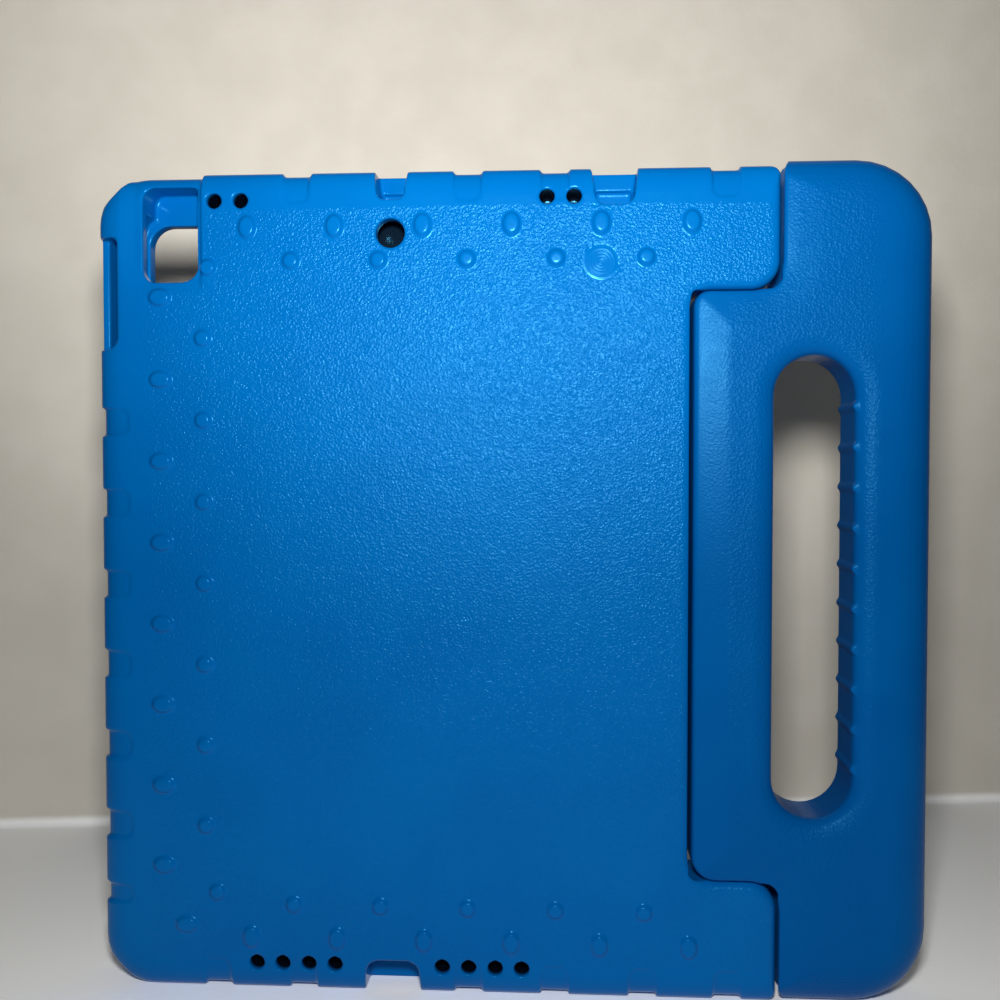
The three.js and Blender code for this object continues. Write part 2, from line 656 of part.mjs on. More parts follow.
// Foam shell that holds the tablet
function makeCaseBody() {
  const hingeSide = slab(hingeSideOutline(), 0, caseThickness, SEAM_ROLL, SEAM_ROLL);
  let body = shellRolls(0).intersect(hingeSide);
  const grip = shellRolls(NOTCH_DEPTH);
  for (const band of notchBands()) {
    body = body.subtract(band.subtract(grip));
  }
  for (const dome of bumps()) {
    body = body.add(dome);
  }
  body = body.subtract(cameraRelief().subtract(shellRolls(RELIEF_DEPTH)));
  const cuts = [...cutouts(), volumeSlot(), pocket(), screenWindow(), gateGroove(), tongueSweep()];
  for (const cut of cuts) {
    body = body.subtract(cut);
  }
  for (const side of [1, -1]) {
    body = body.subtract(bushBore(side));
  }
  return meshFrom(body, 'case_body', foamBlue);
}

// Outline of the handle with its tongue and the grip hole
function handleOutline() {
  const top = handleTop;
  const bottom = handleBottom;
  const outerRound = HANDLE_CORNER;
  const notch = SEAM_END_CORNER;
  const fill = SHOULDER_CORNER + SEAM_GAP;
  const fillX = seatWall - fill;
  const fillZ = tongueHalfLength + fill;
  const shape = new THREE.Shape();
  shape.moveTo(seatWall + notch, bottom);
  shape.absarc(handleRight - outerRound, bottom + outerRound, outerRound, -Math.PI / 2, 0, false);
  shape.absarc(handleRight - outerRound, top - outerRound, outerRound, 0, Math.PI / 2, false);
  shape.absarc(seatWall + notch, top - notch, notch, Math.PI / 2, Math.PI, false);
  shape.absarc(fillX, fillZ, fill, 0, -Math.PI / 2, true);
  const upper = TONGUE_TOP_CORNER;
  const lower = TONGUE_BOTTOM_CORNER;
  shape.absarc(tongueEnd + upper, tongueHalfLength - upper, upper, Math.PI / 2, Math.PI, false);
  shape.absarc(tongueEnd + lower, -tongueHalfLength + lower, lower, Math.PI, 1.5 * Math.PI, false);
  shape.absarc(fillX, -fillZ, fill, Math.PI / 2, 0, true);
  shape.absarc(seatWall + notch, bottom + notch, notch, Math.PI, 1.5 * Math.PI, false);
  const radius = GRIP_HOLE_WIDTH / 2;
  const middle = gripRight - radius;
  const straight = GRIP_HOLE_LENGTH / 2 - radius;
  const hole = new THREE.Path();
  hole.absarc(middle, straight, radius, 0, Math.PI, false);
  hole.absarc(middle, -straight, radius, Math.PI, 2 * Math.PI, false);
  shape.holes.push(hole);
  return shape;
}

// Ribs across the grip hole's outer wall, between the fingers
function fingerRidges() {
  const ridges = [];
  const x = gripRight + FINGER_RIDGE_RADIUS - FINGER_RIDGE_HEIGHT;
  const back = handleBack + HANDLE_ROLL / 2;
  const front = handleFront - HANDLE_ROLL / 2;
  for (let index = 0; index < FINGER_RIDGE_COUNT; index += 1) {
    const z = (index - (FINGER_RIDGE_COUNT - 1) / 2) * FINGER_RIDGE_PITCH;
    ridges.push(barAlongY(x, z, FINGER_RIDGE_RADIUS, back, front, FINGER_RIDGE_SIDES));
  }
  return ridges;
}

// Foam handle that turns on the shell
function makeHandle() {
  const outline = handleOutline();
  const outer = roundedRectangle(
    caseLeft - 2 * HANDLE_REACH,
    handleRight,
    handleBottom,
    handleTop,
    HANDLE_CORNER,
  );
  const rolls = slab(outer, handleBack, handleFront, HANDLE_OUTER_ROLL_WIDTH, HANDLE_OUTER_ROLL_DEPTH);
  let handle = slab(outline, handleBack, handleFront, HANDLE_ROLL, HANDLE_ROLL);
  for (const ridge of fingerRidges()) {
    handle = handle.add(ridge);
  }
  handle = handle.intersect(rolls);
  for (const side of [1, -1]) {
    handle = handle.subtract(shoulderSweep(side));
    handle = handle.subtract(keySocket(side));
  }
  return meshFrom(handle, 'handle_stand', handleBlue);
}

// Hinge pin: a square key fixed in the tongue and a round journal in the shoulder's bush
function makePin(side, name) {
  const half = PIN_KEY_SIZE / 2;
  const keyEnd = tongueHalfLength;
  const journalEnd = tongueHalfLength + PIN_JOURNAL_LENGTH;
  const headStart = keyEnd - PIN_HEAD_LENGTH;
  const journal = [
    [0, headStart],
    [PIN_HEAD_RADIUS, headStart],
    [PIN_HEAD_RADIUS, keyEnd],
    [PIN_RADIUS, keyEnd],
    [PIN_RADIUS, journalEnd - PIN_CHAMFER],
    [PIN_RADIUS - PIN_CHAMFER, journalEnd],
    [0, journalEnd],
  ];
  const round = turned(atEnd(journal, side), PIN_SIDES);
  const low = side > 0 ? keyEnd - PIN_KEY_LENGTH : -keyEnd;
  const high = low + PIN_KEY_LENGTH;
  const outline = roundedRectangle(hingeX - half, hingeX + half, low, high, PIN_KEY_CORNER);
  const key = slab(outline, hingeY - half, hingeY + half);
  return meshFrom(key.add(round), name, darkPlastic);
}

// Bush glued in the shoulder, in which the pin turns
function makeBush(side, name) {
  const innerRadius = PIN_RADIUS + PLASTIC_FIT;
  const outerRadius = innerRadius + BUSH_WALL;
  const start = shoulderInner + BUSH_RECESS;
  const end = tongueHalfLength + SEAM_GAP + PIN_JOURNAL_LENGTH;
  const ring = [
    [innerRadius, start],
    [outerRadius, start],
    [outerRadius, end],
    [innerRadius, end],
    [innerRadius, start],
  ];
  return meshFrom(turned(atEnd(ring, side), PIN_SIDES), name, palePlastic);
}

const tabletCase = new THREE.Group();
tabletCase.add(makeCaseBody());
tabletCase.add(makeHandle());
tabletCase.add(makePin(1, 'upper_hinge_pin'));
tabletCase.add(makePin(-1, 'lower_hinge_pin'));
tabletCase.add(makeBush(1, 'upper_hinge_bush'));
tabletCase.add(makeBush(-1, 'lower_hinge_bush'));
tabletCase.position.set(-(caseLeft + handleRight) / 2, -hingeY, caseHalfLength);

export default tabletCase;
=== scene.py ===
"""Child's tablet case in moulded foam, standing on its short edge, with its carry handle beside it.

Sizes are millimetres of the maker's drawing: X = 0 and Z = 0 at the middle of the tablet, Y = 0 on the
flat back. Finished pieces are placed in the frame, in metres.
"""
import logging
import math
from dataclasses import dataclass
from enum import Enum
from typing import Callable, Sequence

import bmesh
import bpy
from mathutils import Matrix, Vector


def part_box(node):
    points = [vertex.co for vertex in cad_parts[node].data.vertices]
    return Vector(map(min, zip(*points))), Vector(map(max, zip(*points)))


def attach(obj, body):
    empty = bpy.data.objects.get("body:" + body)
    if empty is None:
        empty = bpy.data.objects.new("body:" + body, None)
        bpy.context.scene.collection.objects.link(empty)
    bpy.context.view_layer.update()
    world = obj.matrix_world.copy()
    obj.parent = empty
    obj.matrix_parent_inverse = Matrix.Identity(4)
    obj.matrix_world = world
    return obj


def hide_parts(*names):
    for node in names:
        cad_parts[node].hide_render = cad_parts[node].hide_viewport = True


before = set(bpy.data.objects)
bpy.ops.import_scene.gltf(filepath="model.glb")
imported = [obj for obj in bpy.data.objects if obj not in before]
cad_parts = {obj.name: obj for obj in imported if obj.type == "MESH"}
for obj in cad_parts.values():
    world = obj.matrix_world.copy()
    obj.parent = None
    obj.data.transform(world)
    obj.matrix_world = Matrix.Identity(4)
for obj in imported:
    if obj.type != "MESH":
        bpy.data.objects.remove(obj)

LOG = logging.getLogger("tablet_case")
MM = 0.001
ARC_SEGMENTS = 8
ROLL_SEGMENTS = 8
FACET_EASE = 1.35
BAR_SIDES = 32
PAD_SIDES = 28
CUT_PAST = 5.0
OVERLAP = 1.0
SLIVER = 0.02
BLANK_REACH = 200.0
BLANK_EXTRA = 20.0


class Cut(Enum):
    """Ways of combining two solids."""

    JOIN = "UNION"
    TAKE_AWAY = "DIFFERENCE"
    KEEP_COMMON = "INTERSECT"


@dataclass(frozen=True)
class Corner:
    """Corner of an outline, across and up, with the radius that rounds it."""

    across: float
    up: float
    radius: float = 0.0


@dataclass(frozen=True)
class Roll:
    """Rolled edge: its width on the face, its depth on the side, and how far round it turns.

    A turn of 0 makes it a long facet that eases out into the face.
    """

    width: float
    depth: float
    turn_deg: float = 90.0


NO_ROLL = Roll(0.0, 0.0)


class Solid:
    """A closed solid in drawing millimetres, shaped and combined before it becomes a piece."""

    def __init__(self, shape: bmesh.types.BMesh) -> None:
        """Keep the shape.

        Args:
            shape: closed mesh in drawing millimetres; the solid owns it.
        """
        bmesh.ops.recalc_face_normals(shape, faces=shape.faces)
        mesh = bpy.data.meshes.new("solid")
        shape.to_mesh(mesh)
        shape.free()
        self.item = bpy.data.objects.new("solid", mesh)
        bpy.context.scene.collection.objects.link(self.item)

    def _settle(self) -> None:
        """Turn the live modifiers into plain mesh."""
        graph = bpy.context.evaluated_depsgraph_get()
        mesh = bpy.data.meshes.new_from_object(self.item.evaluated_get(graph))
        old = self.item.data
        self.item.modifiers.clear()
        self.item.data = mesh
        bpy.data.meshes.remove(old)

    def drop(self) -> None:
        """Remove the solid's object and mesh."""
        mesh = self.item.data
        bpy.data.objects.remove(self.item)
        bpy.data.meshes.remove(mesh)

    def combine(self, other: "Solid", cut: Cut) -> "Solid":
        """Combine with another solid, which is used up.

        Args:
            other: the second solid.
            cut: how the two are combined.

        Returns:
            This solid, changed.
        """
        step = self.item.modifiers.new("cut", "BOOLEAN")
        step.operation = cut.value
        step.solver = "EXACT"
        step.object = other.item
        self._settle()
        other.drop()
        return self

    def add_loose(self, other: "Solid") -> "Solid":
        """Add another solid as it is, to be melted in by the remesh; it is used up.

        Args:
            other: the second solid.

        Returns:
            This solid, changed.
        """
        shape = bmesh.new()
        shape.from_mesh(self.item.data)
        shape.from_mesh(other.item.data)
        shape.to_mesh(self.item.data)
        shape.free()
        other.drop()
        return self

    def remesh(self, voxel: float, smooth_steps: int, share: float) -> "Solid":
        """Melt the solid's sharp edges into an even skin, as moulded foam has.

        Args:
            voxel: size of the skin's cells.
            smooth_steps: number of smoothing passes.
            share: share of the faces that is kept.

        Returns:
            This solid, changed.
        """
        skin = self.item.modifiers.new("skin", "REMESH")
        skin.mode = "VOXEL"
        skin.voxel_size = voxel
        soft = self.item.modifiers.new("soft", "SMOOTH")
        soft.factor = 0.5
        soft.iterations = smooth_steps
        thin = self.item.modifiers.new("thin", "DECIMATE")
        thin.ratio = share
        self._settle()
        return self

    def finish(self, name: str, origin: Vector) -> bpy.types.Object:
        """Place the solid in the frame as a named piece.

        Args:
            name: the piece's name.
            origin: where the drawing's zero lies in the frame, in metres.

        Returns:
            The piece's object, at the origin and unturned.
        """
        self.item.name = name
        self.item.data.name = name
        self.item.data.transform(Matrix.Translation(origin) @ Matrix.Scale(MM, 4))
        self.item.data.polygons.foreach_set("use_smooth", [True] * len(self.item.data.polygons))
        return self.item


def empty_shape() -> bmesh.types.BMesh:
    """Return a new empty shape."""
    return bmesh.new()


def add_plate(
    shape: bmesh.types.BMesh,
    corners: Sequence[Corner],
    back: float,
    front: float,
    back_roll: Roll = NO_ROLL,
    front_roll: Roll = NO_ROLL,
) -> None:
    """Add a plate of an outline, with its two rims rolled or flared.

    Args:
        shape: shape that takes the plate.
        corners: outline corners in order.
        back: where the plate starts along Y.
        front: where the plate ends along Y.
        back_roll: roll of the back rim; a negative width flares it.
        front_roll: roll of the front rim; a negative width flares it.
    """
    start = back + back_roll.depth
    end = front - front_roll.depth
    verts = [shape.verts.new((corner.across, start, corner.up)) for corner in corners]
    shape.faces.new(verts)
    for vert, corner in zip(verts, corners):
        if corner.radius > 0:
            bmesh.ops.bevel(
                shape,
                geom=[vert],
                offset=corner.radius,
                offset_type="OFFSET",
                affect="VERTICES",
                segments=ARC_SEGMENTS,
                profile=0.5,
                material=-1,
                clamp_overlap=False,
            )
    shape.faces.ensure_lookup_table()
    near = shape.faces[-1]
    if near.normal.y > 0:
        near.normal_flip()
    near.normal_update()
    rim = list(near.edges)
    grown = bmesh.ops.extrude_edge_only(shape, edges=rim)["geom"]
    ring = [part for part in grown if isinstance(part, bmesh.types.BMEdge)]
    points = [part for part in grown if isinstance(part, bmesh.types.BMVert)]
    bmesh.ops.translate(shape, verts=points, vec=(0, end - start, 0))
    far = bmesh.ops.contextual_create(shape, geom=ring)["faces"][0]
    far.normal_update()
    if far.normal.y < 0:
        far.normal_flip()
    for face, roll in ((near, back_roll), (far, front_roll)):
        if roll.depth > 0:
            roll_rim(shape, face, roll)


def roll_rim(shape: bmesh.types.BMesh, face: bmesh.types.BMFace, roll: Roll) -> None:
    """Roll the rim of an end face over a quarter of an oval, in even turns.

    Args:
        shape: shape that holds the face.
        face: end face, which moves outwards as its rim rolls.
        roll: width, depth and turn of the roll.
    """
    turn = math.radians(roll.turn_deg)
    width = depth = 0.0
    for step in range(1, ROLL_SEGMENTS + 1):
        share = step / ROLL_SEGMENTS
        if turn > 0:
            next_width = roll.width * (1 - math.cos(turn * share)) / (1 - math.cos(turn))
            next_depth = roll.depth * math.sin(turn * share) / math.sin(turn)
        else:
            next_width = roll.width * share
            next_depth = roll.depth * (1 - (1 - share) ** FACET_EASE)
        bmesh.ops.inset_region(
            shape,
            faces=[face],
            thickness=next_width - width,
            depth=next_depth - depth,
            use_even_offset=True,
            use_boundary=True,
        )
        width, depth = next_width, next_depth


def rectangle(
    left: float, right: float, bottom: float, top: float, radii: float | Sequence[float] = 0.0
) -> list[Corner]:
    """Return a rectangle's corners from the lower left, counter-clockwise.

    Args:
        left: left side.
        right: right side.
        bottom: lower side.
        top: upper side.
        radii: one radius, or one for each corner.

    Returns:
        The four corners.
    """
    four = [radii] * 4 if isinstance(radii, (int, float)) else list(radii)
    places = ((left, bottom), (right, bottom), (right, top), (left, top))
    return [Corner(x, z, radius) for (x, z), radius in zip(places, four)]


def plate(
    corners: Sequence[Corner],
    back: float,
    front: float,
    back_roll: Roll = NO_ROLL,
    front_roll: Roll = NO_ROLL,
) -> Solid:
    """Return a single plate as a solid; the arguments are those of add_plate."""
    shape = empty_shape()
    add_plate(shape, corners, back, front, back_roll, front_roll)
    return Solid(shape)


def add_bar(
    shape: bmesh.types.BMesh,
    x: float,
    z: float,
    radius: float,
    back: float,
    front: float,
    sides: int = BAR_SIDES,
) -> None:
    """Add a round bar along Y.

    Args:
        shape: shape that takes the bar.
        x: place across.
        z: place up.
        radius: radius of the bar.
        back: where the bar starts.
        front: where the bar ends.
        sides: number of sides.
    """
    turn = Matrix.Rotation(math.radians(90), 4, "X")
    bmesh.ops.create_cone(
        shape,
        cap_ends=True,
        segments=sides,
        radius1=radius,
        radius2=radius,
        depth=front - back,
        matrix=Matrix.Translation((x, (back + front) / 2, z)) @ turn,
    )


def add_pad(
    shape: bmesh.types.BMesh,
    x: float,
    z: float,
    half_across: float,
    half_along: float,
    height: float,
    top_share: float,
) -> None:
    """Add an oval pad with sloping sides and a flat top, standing on both sides of the back face.

    Args:
        shape: shape that takes the pad.
        x: place across.
        z: place up.
        half_across: half width along X at its foot.
        half_along: half width along Z at its foot.
        height: how far it stands on each side of the face.
        top_share: size of its top as a share of its foot.
    """
    size = Matrix.Diagonal((half_across, 1.0, half_along, 1.0))
    for side in (1, -1):
        turn = Matrix.Rotation(math.radians(-90 * side), 4, "X")
        bmesh.ops.create_cone(
            shape,
            cap_ends=True,
            segments=PAD_SIDES,
            radius1=1.0,
            radius2=top_share,
            depth=height,
            matrix=Matrix.Translation((x, side * height / 2, z)) @ size @ turn,
        )


@dataclass(frozen=True)
class Hinge:
    """Sizes that the shell and the handle share along their parting line."""

    axis_x: float = 113.0
    axis_y: float = 10.0
    recess_x: float = 98.6
    shoulder_x: float = 126.8
    shoulder_z: float = 96.8
    shoulder_corner: float = 9.3
    end_corner: float = 3.8
    gap: float = 0.32
    tongue_top_corner: float = 5.0
    tongue_bottom_corner: float = 7.8
    sweep_clearance: float = 0.75
    sweep_sides: int = 96
    room_ease: float = 0.35
    handle_half: float = 12.0
    shell_half: float = 10.0
    tongue_roll: float = 4.3
    shoulder_roll: float = 2.0

    def turned_room(
        self, radius: float, low: float, high: float, low_corner: float, high_corner: float
    ) -> Solid:
        """Return a round room on the hinge axis with rounded ends.

        Args:
            radius: radius of the room.
            low: its lower end.
            high: its upper end.
            low_corner: corner of what turns at the lower rim, eased here.
            high_corner: corner of what turns at the upper rim, eased here.

        Returns:
            The room's solid.
        """
        shape = empty_shape()
        middle = (low + high) / 2
        bmesh.ops.create_cone(
            shape,
            cap_ends=True,
            segments=self.sweep_sides,
            radius1=radius,
            radius2=radius,
            depth=high - low,
            matrix=Matrix.Translation((self.axis_x, self.axis_y, middle)),
        )
        for rim_radius, below in ((low_corner, True), (high_corner, False)):
            corner = rim_radius * self.room_ease
            if corner <= 0:
                continue
            rim = [edge for edge in shape.edges if all((v.co.z < middle) == below for v in edge.verts)]
            bmesh.ops.bevel(
                shape,
                geom=rim,
                offset=corner,
                offset_type="OFFSET",
                affect="EDGES",
                segments=ROLL_SEGMENTS,
                profile=0.5,
                material=-1,
                clamp_overlap=False,
            )
        return Solid(shape)


@dataclass(frozen=True)
class BumpLine:
    """A straight line of raised bumps on the back; a row may be repeated at the other end."""

    first: float
    pitch: float
    count: int
    level: float
    half_along: float
    half_across: float
    upright: bool
    both_ends: bool = False

    def places(self) -> list[tuple[float, float]]:
        """Return each bump's place across and up."""
        steps = [self.first + index * self.pitch for index in range(self.count)]
        levels = [self.level, -self.level] if self.both_ends else [self.level]
        return [(level, at) if self.upright else (at, level) for level in levels for at in steps]


OVAL_LONG = 4.0
OVAL_SHORT = 3.0
ROUND_HALF = 2.85
PITCH_ACROSS = 29.15
PITCH_ALONG = -27.2
BUMP_LINES = (
    BumpLine(-47.6, PITCH_ACROSS, 6, 118.5, OVAL_SHORT, OVAL_LONG, False, both_ends=True),
    BumpLine(-33.02, PITCH_ACROSS, 5, 107.3, ROUND_HALF, ROUND_HALF, False, both_ends=True),
    BumpLine(95.7, PITCH_ALONG, 8, -77.2, OVAL_SHORT, OVAL_LONG, True),
    BumpLine(82.1, PITCH_ALONG, 7, -62.8, ROUND_HALF, ROUND_HALF, True),
    BumpLine(-60.9, PITCH_ACROSS, 1, 105.4, ROUND_HALF, ROUND_HALF, False),
    BumpLine(-59.1, PITCH_ACROSS, 1, -103.6, ROUND_HALF, ROUND_HALF, False),
    BumpLine(-114.8, PITCH_ALONG, 1, -69.7, OVAL_SHORT, OVAL_LONG, True),
)


@dataclass(frozen=True)
class EdgeCut:
    """Cutout that narrows from the shell's edge inwards."""

    centre: float
    outer_width: float
    inner_width: float
    inner_edge: float
    corner: float

    def outline(self, outer_edge: float) -> list[Corner]:
        """Return the cutout's four corners; it starts at outer_edge, past the outside."""
        outer, inner = self.outer_width / 2, self.inner_width / 2
        return [
            Corner(self.centre - outer, outer_edge),
            Corner(self.centre - inner, self.inner_edge, self.corner),
            Corner(self.centre + inner, self.inner_edge, self.corner),
            Corner(self.centre + outer, outer_edge),
        ]


@dataclass
class CaseShell:
    """The foam shell: tablet pocket, screen lip, cutouts, shoulders, bumps and edge notches."""

    hinge: Hinge
    left: float = -99.0
    half_length: float = 137.0
    thickness: float = 20.0
    corner: float = 17.0
    facet: float = 12.2
    back_roll: Roll = Roll(9.0, 4.5)
    front_roll: Roll = Roll(5.0, 4.0)
    seam_roll: Roll = Roll(3.0, 3.2)
    front_seam_roll: Roll = Roll(1.6, 1.6)
    corner_ease: float = 0.6
    pocket_half_width: float = 87.35
    pocket_half_length: float = 125.6
    pocket_corner: float = 8.3
    pocket_floor: float = 5.0
    pocket_roof: float = 12.8
    lip_front: float = 17.2
    window_half_width: float = 85.25
    window_half_length: float = 122.1
    window_corner: float = 7.0
    lip_slope: float = 6.0
    button_z: float = -115.3
    button_radius: float = 8.5
    tab_radius: float = 10.5
    bump_height: float = 1.15
    bump_top: float = 0.74
    bump_sink: float = 0.3
    sink_margin: float = 0.6
    sink_bottom: float = 0.9
    notch_depth: float = 1.1
    notch_sink: float = 0.4
    notch_reach: float = 11.0
    notch_width: float = 9.4
    notch_corner: float = 3.2
    side_notch_first: float = 54.5
    side_notch_count: int = 6
    low_notch_z: float = -105.0
    low_notch_width: float = 6.5
    low_notch_ease: float = 0.25
    top_notches: tuple[float, ...] = (-31.5, 25.4, 54.0, 109.2)
    bottom_notches: tuple[float, ...] = (-59.4, -30.3, 25.6, 54.2, 83.2, 111.0)
    sound_line: float = 127.4
    sound_radius: float = 2.5
    top_sound: tuple[float, ...] = (-58.8, -49.9, 51.4, 60.2)
    bottom_sound: tuple[float, ...] = (-45.9, -37.1, -28.3, -19.4, 16.8, 25.6, 34.5, 43.3)
    centre_hole_z: float = 116.1
    centre_hole_radius: float = 4.75
    gate_x: float = 68.9
    gate_z: float = 105.8
    gate_radius: float = 6.2
    gate_groove: float = 0.9
    gate_depth: float = 0.7
    gate_sides: int = 64
    camera_sides: tuple[float, float, float, float] = (-83.2, -64.6, 100.9, 132.4)
    camera_corners: tuple[float, float, float, float] = (4.0, 5.5, 2.0, 4.0)
    jack: EdgeCut = EdgeCut(73.4, 16.4, 12.0, 124.6, 3.0)
    jack_mouth: tuple[float, float] = (67.4, 79.4)
    microphone: EdgeCut = EdgeCut(0.0, 12.0, 8.6, 127.2, 2.2)
    microphone_mouth: tuple[float, float] = (-4.3, 4.3)
    port: EdgeCut = EdgeCut(0.0, 19.4, 17.4, -125.8, 4.0)
    port_mouth: tuple[float, float] = (-7.2, 7.2)
    port_mouth_end: float = -127.8
    mouth_wall: float = 5.6
    mouth_roof: float = 1.4
    small_corner: float = 0.5
    relief_left: float = -91.5
    relief_right: float = -63.2
    relief_bottom: float = 97.0
    relief_corner: float = 12.0
    relief_depth: float = 1.0
    relief_steps: int = 6
    relief_slope: float = 5.0
    guard_edge: float = -96.7
    guard_depth: float = 6.0
    trench_edge: float = -91.9
    slot_bottom: float = 78.7
    slot_top: float = 116.0
    slot_corner: float = 2.0
    trench_corner: float = 4.0
    slot_window_inset: float = 3.0
    voxel: float = 0.5
    smooth_steps: int = 3
    kept_share: float = 0.18

    def rolled_blank(self, inset: float, sink: float) -> Solid:
        """Return the shell's rolled outside, left long on the hinge side.

        Args:
            inset: how far its rim is set in from the real outside.
            sink: how far its back face is set in.

        Returns:
            The blank.
        """
        top = self.half_length - inset
        corners = rectangle(self.left + inset, BLANK_REACH, -top, top, self.corner - inset)
        back = plate(corners, sink, self.thickness + BLANK_EXTRA, back_roll=self.back_roll)
        front = plate(corners, -BLANK_EXTRA, self.thickness, front_roll=self.front_roll)
        return back.combine(front, Cut.KEEP_COMMON)

    def hinge_side(self) -> Solid:
        """Return the block that gives the shell its shoulders, its recess and its two cut corners."""
        joint = self.hinge
        far = self.half_length + CUT_PAST
        left = self.left - CUT_PAST
        facet_x = self.left + self.facet + CUT_PAST
        facet_z = self.half_length - self.facet - CUT_PAST
        step_x = joint.shoulder_x - joint.end_corner - CUT_PAST
        inner = joint.shoulder_z
        lower = joint.tongue_bottom_corner + joint.gap + self.corner_ease
        upper = joint.tongue_top_corner + joint.gap + self.corner_ease
        corners = [
            Corner(left, -facet_z),
            Corner(facet_x, -far),
            Corner(step_x, -far),
            Corner(step_x, -self.half_length),
            Corner(joint.shoulder_x, -self.half_length, joint.end_corner),
            Corner(joint.shoulder_x, -inner, joint.shoulder_corner),
            Corner(joint.recess_x, -inner, lower),
            Corner(joint.recess_x, inner, upper),
            Corner(joint.shoulder_x, inner, joint.shoulder_corner),
            Corner(joint.shoulder_x, self.half_length, joint.end_corner),
            Corner(step_x, self.half_length),
            Corner(step_x, far),
            Corner(facet_x, far),
            Corner(left, facet_z),
        ]
        return plate(corners, 0.0, self.thickness, self.seam_roll, self.front_seam_roll)

    def notches(self) -> Solid:
        """Return what the grip notches take from the shell's edge."""
        shape = empty_shape()
        half = self.notch_width / 2
        round_corner = self.notch_corner
        back, front = -CUT_PAST, self.thickness + CUT_PAST
        outer_x, inner_x = self.left - CUT_PAST, self.left + self.notch_reach
        for index in range(self.side_notch_count):
            z = self.side_notch_first + index * PITCH_ALONG
            radii = (0.0, round_corner, round_corner, 0.0)
            add_plate(shape, rectangle(outer_x, inner_x, z - half, z + half, radii), back, front)
        low_half = self.low_notch_width / 2
        low_corner = low_half - self.low_notch_ease
        radii = (0.0, low_corner, low_corner, 0.0)
        low = rectangle(outer_x, inner_x, self.low_notch_z - low_half, self.low_notch_z + low_half, radii)
        add_plate(shape, low, back, front)
        outer_z, inner_z = self.half_length + CUT_PAST, self.half_length - self.notch_reach
        for x in self.top_notches:
            radii = (round_corner, round_corner, 0.0, 0.0)
            add_plate(shape, rectangle(x - half, x + half, inner_z, outer_z, radii), back, front)
        for x in self.bottom_notches:
            radii = (0.0, 0.0, round_corner, round_corner)
            add_plate(shape, rectangle(x - half, x + half, -outer_z, -inner_z, radii), back, front)
        return Solid(shape).combine(self.rolled_blank(self.notch_depth, self.notch_sink), Cut.TAKE_AWAY)

    def bumps(self) -> tuple[Solid, Solid]:
        """Return the shallow dishes round the bumps, and the bumps."""
        dishes = empty_shape()
        domes = empty_shape()
        for line in BUMP_LINES:
            along, across = line.half_along, line.half_across
            for x, z in line.places():
                wide, tall = (across, along) if line.upright else (along, across)
                margin = self.sink_margin
                add_pad(dishes, x, z, wide + margin, tall + margin, self.bump_sink, self.sink_bottom)
                add_pad(domes, x, z, wide, tall, self.bump_height, self.bump_top)
        return Solid(dishes), Solid(domes)

    def camera_relief(self) -> list[Solid]:
        """Return the thin layers that the sloping relief round the camera cutout takes from the corner."""
        top = self.half_length + CUT_PAST
        layers = []
        for step in range(self.relief_steps):
            share = (step + 1) / self.relief_steps
            inset = self.relief_slope * share
            sink = self.relief_depth * share
            corners = [
                Corner(self.relief_left + inset, self.relief_bottom + inset, self.relief_corner - inset),
                Corner(self.relief_right, self.relief_bottom + inset),
                Corner(self.relief_right, top),
                Corner(self.relief_left + inset, top),
            ]
            block = plate(corners, -CUT_PAST, self.thickness + CUT_PAST)
            layers.append(block.combine(self.rolled_blank(sink, sink), Cut.TAKE_AWAY))
        return layers

    def gate_mark(self) -> Solid:
        """Return the ring groove of the gate mark."""
        outer = empty_shape()
        inner = empty_shape()
        inside = self.gate_radius - self.gate_groove
        x, z, sides = self.gate_x, self.gate_z, self.gate_sides
        add_bar(outer, x, z, self.gate_radius, -CUT_PAST, self.gate_depth, sides)
        add_bar(inner, x, z, inside, -2 * CUT_PAST, CUT_PAST, sides)
        return Solid(outer).combine(Solid(inner), Cut.TAKE_AWAY)

    def volume_slot(self) -> list[Solid]:
        """Return the cuts for the volume buttons: a lowered guard wall, a trench and a window."""
        past = -CUT_PAST
        low, high = self.slot_bottom, self.slot_top
        small, wide, deep = self.small_corner, self.slot_corner, self.trench_corner
        inset = self.slot_window_inset
        inner = -self.pocket_half_width + OVERLAP
        guard_end = self.guard_edge + OVERLAP
        guard = rectangle(self.left - CUT_PAST, guard_end, low, high, (0.0, small, wide, 0.0))
        trench = rectangle(self.guard_edge, self.trench_edge, low, high, (small, deep, wide, small))
        window = rectangle(self.trench_edge - OVERLAP, inner, low + inset, high - inset, small)
        return [
            plate(guard, past, self.guard_depth),
            plate(trench, past, self.pocket_roof),
            plate(window, self.pocket_floor + OVERLAP, self.pocket_roof),
        ]

